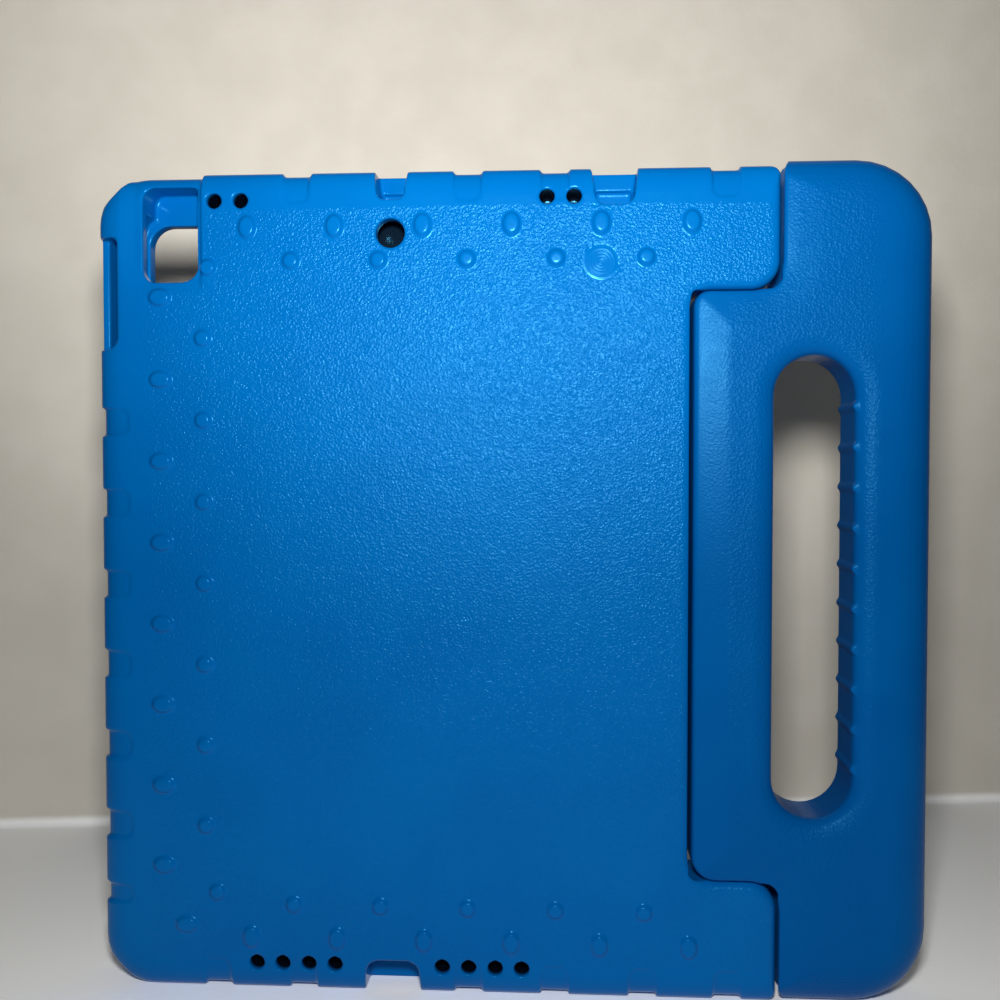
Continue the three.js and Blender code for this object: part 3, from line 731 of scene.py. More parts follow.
    def cutouts(self) -> list[Solid]:
        """Return the cuts for the camera, sound holes, sockets, buttons, pocket and window."""
        past = -CUT_PAST
        beyond = self.half_length + CUT_PAST
        roof = self.pocket_roof
        low_roof = roof - self.mouth_roof
        floor = self.pocket_floor + OVERLAP
        end = self.pocket_half_length - OVERLAP
        wall = self.half_length - self.mouth_wall
        small = self.small_corner
        holes = empty_shape()
        for row, level in ((self.top_sound, self.sound_line), (self.bottom_sound, -self.sound_line)):
            for x in row:
                add_bar(holes, x, level, self.sound_radius, past, roof)
        add_bar(holes, 0.0, self.centre_hole_z, self.centre_hole_radius, past, floor)
        return [
            Solid(holes),
            plate(rectangle(*self.camera_sides, self.camera_corners), past, roof),
            plate(self.jack.outline(beyond), past, low_roof),
            plate(rectangle(*self.jack_mouth, end, wall, small), floor, roof),
            plate(self.microphone.outline(beyond), past, low_roof),
            plate(rectangle(*self.microphone_mouth, end, wall, small), floor, roof),
            plate(self.port.outline(-beyond), past, roof),
            plate(rectangle(*self.port_mouth, self.port_mouth_end, -end, small), floor, roof),
            *self.volume_slot(),
            self.gate_mark(),
            self.pocket(),
            self.window(),
        ]

    def pocket(self) -> Solid:
        """Return the pocket for the tablet."""
        half, tall = self.pocket_half_width, self.pocket_half_length
        corners = rectangle(-half, half, -tall, tall, self.pocket_corner)
        return plate(corners, self.pocket_floor, self.pocket_roof)

    def window(self) -> Solid:
        """Return the screen window, with the slope of the lip's front and the round button's notch."""
        half, tall = self.window_half_width, self.window_half_length
        front = self.thickness + CUT_PAST
        slope_depth = self.thickness - self.lip_front
        slope = Roll(-self.lip_slope, slope_depth)
        opening = rectangle(-half, half, -tall, tall, self.window_corner)
        start = self.pocket_roof - OVERLAP
        hole = plate(opening, start, self.thickness + SLIVER, front_roll=slope)
        notch = empty_shape()
        add_bar(notch, 0.0, self.button_z, self.button_radius, start, front)
        tab = empty_shape()
        add_bar(tab, 0.0, tall, self.tab_radius, start - OVERLAP, self.lip_front)
        return hole.combine(Solid(notch), Cut.JOIN).combine(Solid(tab), Cut.TAKE_AWAY)

    def turning_room(self) -> Solid:
        """Return the round room in the recess in which the tongue turns."""
        joint = self.hinge
        reach = joint.axis_x - joint.recess_x - joint.gap
        roll = joint.tongue_roll
        radius = math.hypot(reach - roll, joint.handle_half - roll) + roll + joint.sweep_clearance
        end = joint.shoulder_z - joint.gap / 2
        return joint.turned_room(radius, -end, end, joint.tongue_bottom_corner, joint.tongue_top_corner)

    def build(self, origin: Vector) -> bpy.types.Object:
        """Build the shell.

        Args:
            origin: where the drawing's zero lies in the frame.

        Returns:
            The finished piece.
        """
        body = self.rolled_blank(0.0, 0.0).combine(self.hinge_side(), Cut.KEEP_COMMON)
        body.combine(self.notches(), Cut.TAKE_AWAY)
        dishes, domes = self.bumps()
        body.combine(dishes, Cut.TAKE_AWAY)
        for cut in self.camera_relief() + self.cutouts():
            body.combine(cut, Cut.TAKE_AWAY)
        body.combine(self.turning_room(), Cut.TAKE_AWAY)
        body.add_loose(domes)
        body.remesh(self.voxel, self.smooth_steps, self.kept_share)
        return body.finish("case_shell", origin)


@dataclass
class CarryHandle:
    """The foam handle: tongue between the shoulders, arms, grip bar, grip hole and finger ridges."""

    hinge: Hinge
    right: float = 176.0
    back: float = -2.0
    front: float = 22.0
    bottom: float = -137.0
    top: float = 139.0
    corner: float = 25.0
    edge_roll: Roll = Roll(3.4, 3.9, 84.0)
    front_edge_roll: Roll = Roll(1.8, 1.8)
    soft_roll: Roll = Roll(12.5, 1.75, 0.0)
    front_soft_roll: Roll = Roll(8.0, 1.2)
    outer_roll: Roll = Roll(14.0, 9.0)
    bar_width: float = 25.2
    hole_width: float = 25.8
    hole_length: float = 151.0
    hole_roll: Roll = Roll(-7.5, 4.6)
    front_hole_roll: Roll = Roll(-2.6, 2.6)
    ridge_count: int = 10
    ridge_pitch: float = 13.1
    ridge_radius: float = 1.5
    ridge_height: float = 1.0
    ridge_inset: float = 2.2
    ridge_sides: int = 20
    voxel: float = 0.6
    smooth_steps: int = 3
    kept_share: float = 0.33

    def outline(self) -> list[Corner]:
        """Return the handle's outline with its tongue."""
        joint = self.hinge
        seat = joint.shoulder_x + joint.gap
        inner = joint.shoulder_z - joint.gap
        edge = joint.recess_x + joint.gap
        fill = joint.shoulder_corner + joint.gap
        return [
            Corner(seat, self.bottom, joint.end_corner),
            Corner(self.right, self.bottom, self.corner),
            Corner(self.right, self.top, self.corner),
            Corner(seat, self.top, joint.end_corner),
            Corner(seat, inner, fill),
            Corner(edge, inner, joint.tongue_top_corner),
            Corner(edge, -inner, joint.tongue_bottom_corner),
            Corner(seat, -inner, fill),
        ]

    def parting_outline(self) -> list[Corner]:
        """Return the parting line with sharp corners, closed far outside on its other sides."""
        joint = self.hinge
        seat = joint.shoulder_x + joint.gap
        inner = joint.shoulder_z - joint.gap
        edge = joint.recess_x + joint.gap
        fill = joint.shoulder_corner + joint.gap
        far_x, far_z = self.right + BLANK_REACH / 2, self.top + BLANK_REACH / 2
        return [
            Corner(seat, -far_z),
            Corner(far_x, -far_z),
            Corner(far_x, far_z),
            Corner(seat, far_z),
            Corner(seat, inner, fill),
            Corner(edge, inner),
            Corner(edge, -inner),
            Corner(seat, -inner, fill),
        ]

    def grip_hole(self) -> Solid:
        """Return the grip hole, flared at both faces, less the ridges on its outer wall."""
        right = self.right - self.bar_width
        left = right - self.hole_width
        half = self.hole_length / 2
        corners = rectangle(left, right, -half, half, (self.hole_width - SLIVER) / 2)
        hole = plate(corners, self.back - SLIVER, self.front + SLIVER, self.hole_roll, self.front_hole_roll)
        ridges = empty_shape()
        x = right + self.ridge_radius - self.ridge_height
        for index in range(self.ridge_count):
            z = (index - (self.ridge_count - 1) / 2) * self.ridge_pitch
            back, front = self.back + self.ridge_inset, self.front - self.ridge_inset
            add_bar(ridges, x, z, self.ridge_radius, back, front, self.ridge_sides)
        return hole.combine(Solid(ridges), Cut.TAKE_AWAY)

    def build(self, origin: Vector) -> bpy.types.Object:
        """Build the handle.

        Args:
            origin: where the drawing's zero lies in the frame.

        Returns:
            The finished piece.
        """
        body = plate(self.outline(), self.back, self.front, self.edge_roll, self.front_edge_roll)
        outer = rectangle(-BLANK_REACH, self.right, self.bottom, self.top, self.corner)
        rolled = plate(outer, self.back, self.front, self.outer_roll, self.outer_roll)
        body.combine(rolled, Cut.KEEP_COMMON)
        soft = plate(self.parting_outline(), self.back, self.front, self.soft_roll, self.front_soft_roll)
        body.combine(soft, Cut.KEEP_COMMON)
        body.combine(self.grip_hole(), Cut.TAKE_AWAY)
        for side in (1, -1):
            body.combine(self.shoulder_room(side), Cut.TAKE_AWAY)
        body.remesh(self.voxel, self.smooth_steps, self.kept_share)
        return body.finish("carry_handle", origin)

    def shoulder_room(self, side: int) -> Solid:
        """Return the round room in which a shoulder turns.

        Args:
            side: 1 for the upper shoulder, -1 for the lower one.

        Returns:
            The room's solid.
        """
        joint = self.hinge
        reach = joint.shoulder_x - joint.axis_x
        roll = joint.shoulder_roll
        radius = math.hypot(reach - roll, joint.shell_half - roll) + roll + joint.sweep_clearance
        near, far = joint.shoulder_z, self.top + CUT_PAST
        if side > 0:
            return joint.turned_room(radius, near, far, joint.shoulder_corner, 0.0)
        return joint.turned_room(radius, -far, -near, 0.0, joint.shoulder_corner)


class Sheet:
    """A material's node sheet, with short calls for its nodes."""

    def __init__(self, name: str) -> None:
        """Start a material with a plain shader.

        Args:
            name: the material's name.
        """
        self.material = bpy.data.materials.new(name)
        self.material.use_nodes = True
        self.nodes = self.material.node_tree.nodes
        self.links = self.material.node_tree.links
        self.shader = self.nodes["Principled BSDF"]
        self.place = self.nodes.new("ShaderNodeTexCoord").outputs["Object"]
        split = self.nodes.new("ShaderNodeSeparateXYZ")
        self.links.new(self.place, split.inputs[0])
        self.axes = {name: split.outputs[name] for name in "XYZ"}

    def feed(self, socket: bpy.types.NodeSocket, value: object) -> None:
        """Give a socket a number, or link it to another node's output.

        Args:
            socket: input socket.
            value: number, colour or output socket.
        """
        if isinstance(value, bpy.types.NodeSocket):
            self.links.new(value, socket)
        else:
            socket.default_value = value

    def math(
        self, kind: str, first: object, second: object = 0.0, third: object = 0.0
    ) -> bpy.types.NodeSocket:
        """Return the output of a maths node.

        Args:
            kind: operation.
            first: first value.
            second: second value.
            third: third value.

        Returns:
            The result's socket.
        """
        node = self.nodes.new("ShaderNodeMath")
        node.operation = kind
        for socket, value in zip(node.inputs, (first, second, third)):
            self.feed(socket, value)
        return node.outputs[0]

    def ramp(self, value: object, low: float, high: float) -> bpy.types.NodeSocket:
        """Return a soft step from 0 at low to 1 at high.

        Args:
            value: value to map.
            low: where the step starts.
            high: where the step ends; may be below low.

        Returns:
            The step's socket.
        """
        node = self.nodes.new("ShaderNodeMapRange")
        node.interpolation_type = "SMOOTHSTEP"
        flip = high < low
        self.feed(node.inputs["Value"], value)
        node.inputs["From Min"].default_value = min(low, high)
        node.inputs["From Max"].default_value = max(low, high)
        node.inputs["To Min"].default_value = 1.0 if flip else 0.0
        node.inputs["To Max"].default_value = 0.0 if flip else 1.0
        return node.outputs["Result"]

    def band(self, value: object, zero: float, span: tuple[float, float]) -> bpy.types.NodeSocket:
        """Return a soft step over a span of places given from zero; the rest is as in ramp."""
        return self.ramp(value, zero + span[0], zero + span[1])

    def noise(self, size: float, detail: float = 2.0, roughness: float = 0.5) -> bpy.types.NodeSocket:
        """Return noise with features of a size in metres.

        Args:
            size: feature size.
            detail: octaves.
            roughness: weight of the fine octaves.

        Returns:
            The noise value's socket.
        """
        node = self.nodes.new("ShaderNodeTexNoise")
        self.links.new(self.place, node.inputs["Vector"])
        node.inputs["Scale"].default_value = 1.0 / size
        node.inputs["Detail"].default_value = detail
        node.inputs["Roughness"].default_value = roughness
        return node.outputs["Fac"]

    def cells(self, size: float) -> bpy.types.NodeSocket:
        """Return the distance to the middle of round cells.

        Args:
            size: cell size in metres.

        Returns:
            The distance's socket.
        """
        node = self.nodes.new("ShaderNodeTexVoronoi")
        node.feature = "F1"
        self.links.new(self.place, node.inputs["Vector"])
        node.inputs["Scale"].default_value = 1.0 / size
        return node.outputs["Distance"]

    def mix(self, share: object, first: Sequence[float], second: Sequence[float]) -> bpy.types.NodeSocket:
        """Return a mix of two colours.

        Args:
            share: share of the second colour.
            first: first colour.
            second: second colour.

        Returns:
            The colour's socket.
        """
        node = self.nodes.new("ShaderNodeMix")
        node.data_type = "RGBA"
        self.feed(node.inputs[0], share)
        self.feed(node.inputs[6], first)
        self.feed(node.inputs[7], second)
        return node.outputs[2]

    def relief(self, height: bpy.types.NodeSocket, depth: float, strength: object = 1.0) -> None:
        """Add a layer of bump to the shader, over those added before.

        Args:
            height: height from 0 to 1.
            depth: real depth of the full height, in metres.
            strength: weight of the layer, as a number or a socket.
        """
        node = self.nodes.new("ShaderNodeBump")
        node.inputs["Distance"].default_value = depth
        self.feed(node.inputs["Strength"], strength)
        self.links.new(height, node.inputs["Height"])
        before = self.shader.inputs["Normal"].links
        if before:
            self.links.new(before[0].from_socket, node.inputs["Normal"])
        self.links.new(node.outputs["Normal"], self.shader.inputs["Normal"])


def srgb(red: int, green: int, blue: int) -> tuple[float, float, float, float]:
    """Return a display colour of 0 to 255 as a linear colour with full cover."""
    def linear(value: int) -> float:
        """Return one channel as a linear value."""
        share = value / 255
        return share / 12.92 if share <= 0.04045 else ((share + 0.055) / 1.055) ** 2.4
    return (linear(red), linear(green), linear(blue), 1.0)


@dataclass(frozen=True)
class FoamFinish:
    """Dense foam with a moulded skin: leather grain in the middle, satin bands at the edges."""

    name: str
    colour: tuple[float, float, float, float]
    pale: tuple[float, float, float, float]
    roughness: float = 0.25
    gloss: float = 0.19
    gloss_tint: tuple[float, float, float, float] = (0.12, 0.6, 1.0, 1.0)
    # near-black painted shade for where only shade falls deep inside holes
    painted_shade_colour: tuple[float, float, float, float] = (0.003, 0.006, 0.014, 1.0)
    grain_size: float = 0.00085
    grain_depth: float = 0.00028
    cell_share: float = 0.6
    crease_share: float = 0.7
    cloud_size: float = 0.045
    wear_size: float = 0.006
    wear_span: float = 0.12
    skin_size: float = 0.0009
    skin_depth: float = 0.00003

    def start(self, painted_hole_shade: Callable[[Sheet], bpy.types.NodeSocket] | None = None) -> Sheet:
        """Return the finish's sheet with its colour and fine skin.

        Args:
            painted_hole_shade: gives the cover of the painted shade deep inside holes, where there is one.

        Returns:
            The sheet.
        """
        sheet = Sheet(self.name)
        clouds = sheet.noise(self.cloud_size, 3.0, 0.55)
        foam = sheet.mix(sheet.ramp(clouds, 0.35, 0.7), self.colour, self.pale)
        # painted shade: a near-black colour is mixed into the foam where shade falls inside holes
        if painted_hole_shade is not None:
            foam = sheet.mix(painted_hole_shade(sheet), foam, self.painted_shade_colour)
        sheet.feed(sheet.shader.inputs["Base Color"], foam)
        sheet.shader.inputs["Specular IOR Level"].default_value = self.gloss
        sheet.shader.inputs["Specular Tint"].default_value = self.gloss_tint
        rough = sheet.noise(self.wear_size, 3.0, 0.6)
        wear = sheet.math("MULTIPLY_ADD", rough, self.wear_span, self.roughness - self.wear_span / 2)
        sheet.feed(sheet.shader.inputs["Roughness"], wear)
        sheet.relief(sheet.noise(self.skin_size, 2.0, 0.6), self.skin_depth)
        return sheet

    def grain(self, sheet: Sheet, cover: bpy.types.NodeSocket) -> None:
        """Add the leather grain where the cover is 1.

        Args:
            sheet: the finish's sheet.
            cover: cover from 0 to 1.
        """
        cells = sheet.math("MULTIPLY", sheet.cells(self.grain_size), self.cell_share)
        creases = sheet.noise(self.grain_size * 0.8, 2.0, 0.55)
        height = sheet.math("ADD", cells, sheet.math("MULTIPLY", creases, self.crease_share))
        sheet.relief(height, self.grain_depth, cover)


def bump_cover(sheet: Sheet, origin: Vector, margin: float) -> bpy.types.NodeSocket:
    """Return 1 away from the bumps and 0 on them and close round them.

    Args:
        sheet: sheet that takes the nodes.
        origin: where the drawing's zero lies in the frame.
        margin: width of the smooth ring round each bump, in millimetres.

    Returns:
        The cover's socket.
    """
    cover = None
    for line in BUMP_LINES:
        run, side = ("Z", "X") if line.upright else ("X", "Z")
        place = {"X": origin.x, "Z": origin.z}
        start = place[run] + line.first * MM
        pitch = abs(line.pitch) * MM
        last = start + (line.count - 1) * line.pitch * MM
        low, high = min(start, last), max(start, last)
        along = sheet.math("SUBTRACT", sheet.axes[run], start)
        if line.count > 1:
            near = sheet.math("MINIMUM", sheet.math("MAXIMUM", sheet.axes[run], low), high)
            over = sheet.math("ABSOLUTE", sheet.math("SUBTRACT", sheet.axes[run], near))
            lattice = sheet.math("PINGPONG", sheet.math("SUBTRACT", near, low), pitch / 2)
            along = sheet.math("ADD", lattice, over)
        across = sheet.math("SUBTRACT", sheet.axes[side], place[side])
        if line.both_ends:
            across = sheet.math("ABSOLUTE", across)
        across = sheet.math("SUBTRACT", across, line.level * MM)
        wide = (line.half_along + margin) * MM
        tall = (line.half_across + margin) * MM
        first = sheet.math("POWER", sheet.math("DIVIDE", sheet.math("ABSOLUTE", along), wide), 2.0)
        second = sheet.math("POWER", sheet.math("DIVIDE", sheet.math("ABSOLUTE", across), tall), 2.0)
        ring = sheet.math("ADD", first, second)
        cover = ring if cover is None else sheet.math("MINIMUM", cover, ring)
    return sheet.ramp(cover, 0.85, 1.1)


@dataclass(frozen=True)
class PaintedHoleShade:
    """Painted shade: near-black colour inside the centre hole and deep in the sound holes, where only shade
    falls; places in metres from the drawing's zero.
    """

    tab_reach: float = 0.0110
    tab_level: float = 0.1170
    tab_start: tuple[float, float] = (0.0105, 0.0115)
    lip_end: tuple[float, float] = (0.0150, 0.0142)
    row_low: tuple[float, float] = (0.1257, 0.1262)
    row_high: tuple[float, float] = (0.1306, 0.1302)
    row_inner: tuple[float, float] = (0.0130, 0.0136)
    row_outer: tuple[float, float] = (0.0640, 0.0634)
    hole_start: tuple[float, float] = (0.0010, 0.0030)

    def cover(self, sheet: Sheet, origin: Vector) -> bpy.types.NodeSocket:
        """Return the cover of the painted shade: on the lip's tab seen through the centre hole, and deep in
        the sound holes.

        Args:
            sheet: sheet that takes the nodes.
            origin: where the drawing's zero lies in the frame.

        Returns:
            The cover's socket.
        """
        x, y, z = (sheet.axes[name] for name in "XYZ")
        across = sheet.math("SUBTRACT", x, origin.x)
        squares = []
        for offset in (across, sheet.math("SUBTRACT", z, origin.z + self.tab_level)):
            squares.append(sheet.math("POWER", sheet.math("DIVIDE", offset, self.tab_reach), 2.0))
        # painted shade on the lip's tab seen through the centre hole
        tab = sheet.ramp(sheet.math("ADD", *squares), 1.0, 0.85)
        outside = sheet.band(y, origin.y, self.lip_end)
        tab = sheet.math("MULTIPLY", tab, sheet.band(y, origin.y, self.tab_start))
        level = sheet.math("ABSOLUTE", sheet.math("SUBTRACT", z, origin.z))
        place = sheet.math("ABSOLUTE", across)
        # painted shade deep in the sound holes, away from their mouths
        holes = sheet.band(y, origin.y, self.hole_start)
        rows = ((level, self.row_low), (level, self.row_high))
        columns = ((place, self.row_inner), (place, self.row_outer))
        for value, span in rows + columns:
            holes = sheet.math("MULTIPLY", holes, sheet.band(value, 0.0, span))
        return sheet.math("MULTIPLY", sheet.math("MAXIMUM", tab, holes), outside)


@dataclass(frozen=True)
class PlasticFinish:
    """Plain moulded plastic of the hidden pins and bushes."""

    name: str
    colour: tuple[float, float, float, float]
    pale: tuple[float, float, float, float]
    roughness: float
    tone_size: float = 0.012
    wear_size: float = 0.003
    wear_span: float = 0.2
    skin_size: float = 0.0006
    skin_depth: float = 0.00002

    def make(self) -> bpy.types.Material:
        """Return the material."""
        sheet = Sheet(self.name)
        tone = sheet.ramp(sheet.noise(self.tone_size, 3.0), 0.3, 0.7)
        sheet.feed(sheet.shader.inputs["Base Color"], sheet.mix(tone, self.colour, self.pale))
        rough = sheet.noise(self.wear_size, 2.0)
        wear = sheet.math("MULTIPLY_ADD", rough, self.wear_span, self.roughness - self.wear_span / 2)
        sheet.feed(sheet.shader.inputs["Roughness"], wear)
        sheet.relief(sheet.noise(self.skin_size, 2.0), self.skin_depth)
        return sheet.material


@dataclass(frozen=True)
class Dress:
    """The finishes of the whole case; spans are in metres from the drawing's zero."""

    shell: FoamFinish = FoamFinish(
        "case_foam", srgb(0, 107, 189), srgb(0, 112, 194), 0.2, 0.3, grain_depth=0.00027
    )
    handle: FoamFinish = FoamFinish("handle_foam", srgb(0, 93, 170), srgb(0, 98, 175), 0.32, 0.19)
    pin: PlasticFinish = PlasticFinish("pin_plastic", srgb(40, 42, 45), srgb(52, 54, 57), 0.45)
    bush: PlasticFinish = PlasticFinish("bush_plastic", srgb(205, 206, 204), srgb(222, 222, 220), 0.4)
    ring_pitch: float = 0.00105
    ring_depth: float = 0.00012
    facet_grain: float = 0.3
    # painted shade inside the centre hole and the sound holes
    painted_hole_shade: PaintedHoleShade = PaintedHoleShade()
    pad_margin: float = 0.7
    left_band: tuple[float, float] = (-0.0885, -0.0790)
    top_band: tuple[float, float] = (0.1255, 0.1235)
    low_band: tuple[float, float] = (-0.1270, -0.1250)
    back_band: tuple[float, float] = (0.0006, 0.0002)
    gate_outside: tuple[float, float] = (0.0056, 0.0064)
    gate_inside: tuple[float, float] = (0.0052, 0.0046)
    facet_band: tuple[float, float] = (0.1080, 0.1115)
    bar_band: tuple[float, float] = (0.1640, 0.1500)
    handle_back_band: tuple[float, float] = (-0.0002, -0.0014)

    def shell_material(self, origin: Vector, gate: tuple[float, float]) -> bpy.types.Material:
        """Return the shell's foam, grained on the back between the smooth bands, with turned gate rings and
        painted shade inside the holes.

        Args:
            origin: where the drawing's zero lies in the frame.
            gate: place of the gate mark, in drawing millimetres.

        Returns:
            The material.
        """
        # the shell's foam takes the painted shade inside its holes
        sheet = self.shell.start(lambda blank: self.painted_hole_shade.cover(blank, origin))
        x, y, z = (sheet.axes[name] for name in "XYZ")
        back = sheet.band(y, origin.y, self.back_band)
        edges = [
            sheet.band(x, origin.x, self.left_band),
            sheet.band(z, origin.z, self.top_band),
            sheet.band(z, origin.z, self.low_band),
            back,
        ]
        cover = bump_cover(sheet, origin, self.pad_margin)
        for edge in edges:
            cover = sheet.math("MULTIPLY", cover, edge)
        squares = []
        for axis, place in ((x, origin.x + gate[0] * MM), (z, origin.z + gate[1] * MM)):
            offset = sheet.math("SUBTRACT", axis, place)
            squares.append(sheet.math("MULTIPLY", offset, offset))
        radius = sheet.math("SQRT", sheet.math("ADD", *squares))
        outside = sheet.band(radius, 0.0, self.gate_outside)
        self.shell.grain(sheet, sheet.math("MULTIPLY", cover, outside))
        waves = sheet.math("SINE", sheet.math("MULTIPLY", radius, math.tau / self.ring_pitch))
        inside = sheet.math("MULTIPLY", sheet.band(radius, 0.0, self.gate_inside), back)
        sheet.relief(sheet.math("MULTIPLY_ADD", waves, 0.5, 0.5), self.ring_depth, inside)
        return sheet.material

    def handle_material(self, origin: Vector) -> bpy.types.Material:
        """Return the handle's foam, grained on the tongue and near the parting line.

        Args:
            origin: where the drawing's zero lies in the frame.

        Returns:
            The material.
        """
        sheet = self.handle.start()
        x, y, _ = (sheet.axes[name] for name in "XYZ")
        left = sheet.math("MAXIMUM", sheet.band(x, origin.x, self.facet_band), self.facet_grain)
        right = sheet.band(x, origin.x, self.bar_band)
        back = sheet.band(y, origin.y, self.handle_back_band)
        cover = sheet.math("MULTIPLY", sheet.math("MULTIPLY", left, right), back)
        self.handle.grain(sheet, cover)
        return sheet.material


@dataclass
class Studio:
    """Pale floor and wall, a soft lamp above the camera, a weak fill, and the camera."""

    eye: tuple[float, float, float] = (0.0174, -0.3537, 0.1753)
    yaw_deg: float = 3.292
    pitch_deg: float = -1.619
    lens: float = 37.8
    sensor: float = 36.0
    wall_point: tuple[float, float] = (-0.013, 0.176)
    wall_turn_deg: float = 7.9
    reach: float = 1.6
    cove: float = 0.003
    wall_start: tuple[float, float] = (0.002, 0.006)
    floor_paint: tuple[float, float, float, float] = srgb(236, 238, 238)
    wall_paint: tuple[float, float, float, float] = srgb(214, 210, 200)
    pale_wall_paint: tuple[float, float, float, float] = srgb(226, 222, 213)
    floor_extra: tuple[float, float, float, float] = srgb(253, 254, 254)
    wall_extra: tuple[float, float, float, float] = srgb(179, 174, 163)
    flash: tuple[float, float, float] = (0.014, -0.35, 0.25)
    flash_size: float = 0.045
    flash_power: float = 0.86
    aim: tuple[float, float, float] = (0.0, 0.0, 0.14)
    spot_aim: tuple[float, float, float] = (-0.01, 0.0, 0.374)
    spot_spread_deg: float = 84.0
    spot_power: float = 4.5
    fill: tuple[float, float, float] = (0.1, -1.2, 0.5)
    fill_size: float = 0.9
    fill_power: float = 0.05
    world_colour: tuple[float, float, float, float] = (0.92, 0.95, 1.0, 1.0)
    world_strength: float = 0.009

    def camera(self) -> None:
        """Set up the camera."""
        data = bpy.data.cameras.new("camera")
        data.lens = self.lens
        data.sensor_width = self.sensor
        data.sensor_fit = "HORIZONTAL"
        data.clip_start = 0.01
        item = bpy.data.objects.new("camera", data)
        item.location = self.eye
        item.rotation_euler = (math.radians(90 + self.pitch_deg), 0.0, math.radians(self.yaw_deg))
        bpy.context.scene.collection.objects.link(item)
        bpy.context.scene.camera = item

    def brighten(self, sheet: Sheet, extra: bpy.types.NodeSocket) -> None:
        """Make the backdrop paler in the picture and in reflections; its shadows stay.

        Seen from behind it is clear, so that the case can be looked at from every side.

        Args:
            sheet: the backdrop's sheet.
            extra: colour of the matt layer that is added.
        """
        path = sheet.nodes.new("ShaderNodeLightPath")
        seen = sheet.math("MAXIMUM", path.outputs["Is Camera Ray"], path.outputs["Is Glossy Ray"])
        seen = sheet.math("MAXIMUM", seen, path.outputs["Is Transmission Ray"])
        layer = sheet.nodes.new("ShaderNodeBsdfDiffuse")
        both = sheet.nodes.new("ShaderNodeAddShader")
        pick = sheet.nodes.new("ShaderNodeMixShader")
        sheet.feed(layer.inputs["Color"], extra)
        sheet.links.new(sheet.shader.outputs[0], both.inputs[0])
        sheet.links.new(layer.outputs[0], both.inputs[1])
        sheet.links.new(seen, pick.inputs[0])
        sheet.links.new(sheet.shader.outputs[0], pick.inputs[1])
        sheet.links.new(both.outputs[0], pick.inputs[2])
        rear = sheet.nodes.new("ShaderNodeNewGeometry").outputs["Backfacing"]
        clear = sheet.nodes.new("ShaderNodeBsdfTransparent")
        side = sheet.nodes.new("ShaderNodeMixShader")
        sheet.links.new(sheet.math("MULTIPLY", rear, path.outputs["Is Camera Ray"]), side.inputs[0])
        sheet.links.new(pick.outputs[0], side.inputs[1])
        sheet.links.new(clear.outputs[0], side.inputs[2])
        sheet.links.new(side.outputs[0], sheet.nodes["Material Output"].inputs["Surface"])

    def backdrop(self) -> None:
        """Build the floor and the wall behind it as one sheet with a tight bend."""
        shape = empty_shape()
        bmesh.ops.create_grid(shape, x_segments=1, y_segments=1, size=1.0)
        bmesh.ops.scale(shape, verts=shape.verts, vec=(self.reach, self.reach, 1.0))
        bmesh.ops.translate(shape, verts=shape.verts, vec=(0.0, -self.reach, 0.0))
        rear = [edge for edge in shape.edges if all(v.co.y > -0.001 for v in edge.verts)]
        grown = bmesh.ops.extrude_edge_only(shape, edges=rear)["geom"]
        points = [part for part in grown if isinstance(part, bmesh.types.BMVert)]
        bmesh.ops.translate(shape, verts=points, vec=(0.0, 0.0, self.reach))
        bmesh.ops.bevel(
            shape,
            geom=rear,
            offset=self.cove,
            offset_type="OFFSET",
            affect="EDGES",
            segments=6,
            profile=0.5,
            material=-1,
        )
        turn = Matrix.Rotation(math.radians(self.wall_turn_deg), 3, "Z")
        bmesh.ops.rotate(shape, verts=shape.verts, matrix=turn)
        bmesh.ops.translate(shape, verts=shape.verts, vec=(*self.wall_point, 0.0))
        mesh = bpy.data.meshes.new("studio_backdrop")
        shape.to_mesh(mesh)
        shape.free()
        item = bpy.data.objects.new("studio_backdrop", mesh)
        bpy.context.scene.collection.objects.link(item)
        sheet = Sheet("studio_paint")
        wall = sheet.band(sheet.axes["Z"], 0.0, self.wall_start)
        clouds = sheet.ramp(sheet.noise(0.03, 4.0, 0.6), 0.3, 0.7)
        paint = sheet.mix(clouds, self.wall_paint, self.pale_wall_paint)
        sheet.feed(sheet.shader.inputs["Base Color"], sheet.mix(wall, self.floor_paint, paint))
        sheet.shader.inputs["Roughness"].default_value = 0.7
        sheet.relief(sheet.noise(0.004, 4.0, 0.6), 0.0002)
        self.brighten(sheet, sheet.mix(wall, self.floor_extra, self.wall_extra))
        mesh.materials.append(sheet.material)

    def lamp(
        self,
        name: str,
        place: tuple[float, float, float],
        aim: tuple[float, float, float],
        size: float,
        power: float,
        colour: tuple[float, float, float],
    ) -> None:
        """Add a square soft lamp.

        Args:
            name: the lamp's name.
            place: where it hangs.
            aim: the point that it faces.
            size: side length in metres.
            power: power in watts.
            colour: colour of its light.
        """
        data = bpy.data.lights.new(name, "AREA")
        data.shape = "SQUARE"
        data.size = size
        data.energy = power
        data.color = colour
        item = bpy.data.objects.new(name, data)
        item.location = place
        item.rotation_euler = (Vector(aim) - Vector(place)).to_track_quat("-Z", "Y").to_euler()
        bpy.context.scene.collection.objects.link(item)

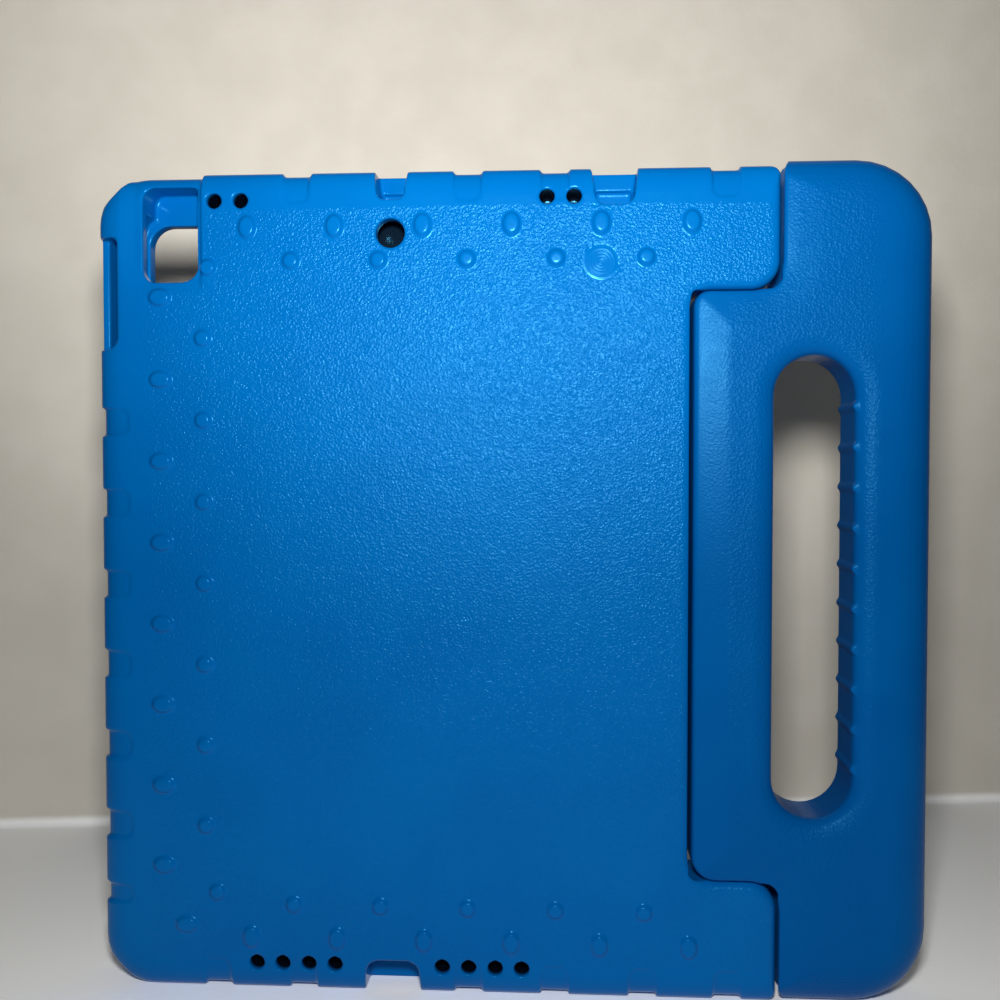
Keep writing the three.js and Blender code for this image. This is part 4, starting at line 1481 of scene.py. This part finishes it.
    def spot(self, name: str, aim: tuple[float, float, float], spread_deg: float, power: float) -> None:
        """Add a soft-edged spot at the flash, which brightens the upper half.

        Args:
            name: the lamp's name.
            aim: the point that it faces.
            spread_deg: full angle of its cone.
            power: power in watts.
        """
        data = bpy.data.lights.new(name, "SPOT")
        data.spot_size = math.radians(spread_deg)
        data.spot_blend = 1.0
        data.shadow_soft_size = self.flash_size / 2
        data.energy = power
        data.color = (1.0, 0.98, 0.94)
        item = bpy.data.objects.new(name, data)
        item.location = self.flash
        item.rotation_euler = (Vector(aim) - Vector(self.flash)).to_track_quat("-Z", "Y").to_euler()
        bpy.context.scene.collection.objects.link(item)

    def build(self) -> None:
        """Build the stage, the lamps, the world and the camera."""
        self.camera()
        self.backdrop()
        warm, cool = (1.0, 0.98, 0.95), (0.97, 0.98, 1.0)
        self.lamp("flash_lamp", self.flash, self.aim, self.flash_size, self.flash_power, warm)
        self.spot("upper_spot", self.spot_aim, self.spot_spread_deg, self.spot_power)
        self.lamp("fill_lamp", self.fill, self.aim, self.fill_size, self.fill_power, cool)
        world = bpy.data.worlds.new("studio_world")
        world.use_nodes = True
        world.node_tree.nodes["Background"].inputs[0].default_value = self.world_colour
        world.node_tree.nodes["Background"].inputs[1].default_value = self.world_strength
        bpy.context.scene.world = world
        bpy.context.scene.view_settings.view_transform = "Standard"


def main() -> None:
    """Build the looks of the case, light it and report each piece."""
    logging.basicConfig(level=logging.INFO, format="%(message)s")
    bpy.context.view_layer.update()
    case_low, case_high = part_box("case_body")
    shell_sizes = CaseShell(Hinge())
    origin = Vector(
        (
            case_low.x - shell_sizes.left * MM,
            case_high.y - shell_sizes.thickness * MM,
            (case_low.z + case_high.z) / 2,
        )
    )
    dress = Dress()
    shell = shell_sizes.build(origin)
    shell.data.materials.clear()
    shell.data.materials.append(dress.shell_material(origin, (shell_sizes.gate_x, shell_sizes.gate_z)))
    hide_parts("case_body")
    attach(shell, "case")
    LOG.info("case_shell: %d faces", len(shell.data.polygons))
    handle = CarryHandle(Hinge()).build(origin)
    handle.data.materials.clear()
    handle.data.materials.append(dress.handle_material(origin))
    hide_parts("handle_stand")
    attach(handle, "handle")
    LOG.info("carry_handle: %d faces", len(handle.data.polygons))
    for end in ("upper", "lower"):
        for kind, finish in (("pin", dress.pin), ("bush", dress.bush)):
            node = bpy.data.objects[f"{end}_hinge_{kind}"]
            node.data.materials.clear()
            node.data.materials.append(finish.make())
            LOG.info("%s: finished", node.name)
    Studio().build()
    LOG.info("studio: lamps, backdrop and camera")


if __name__ == "__main__":
    main()
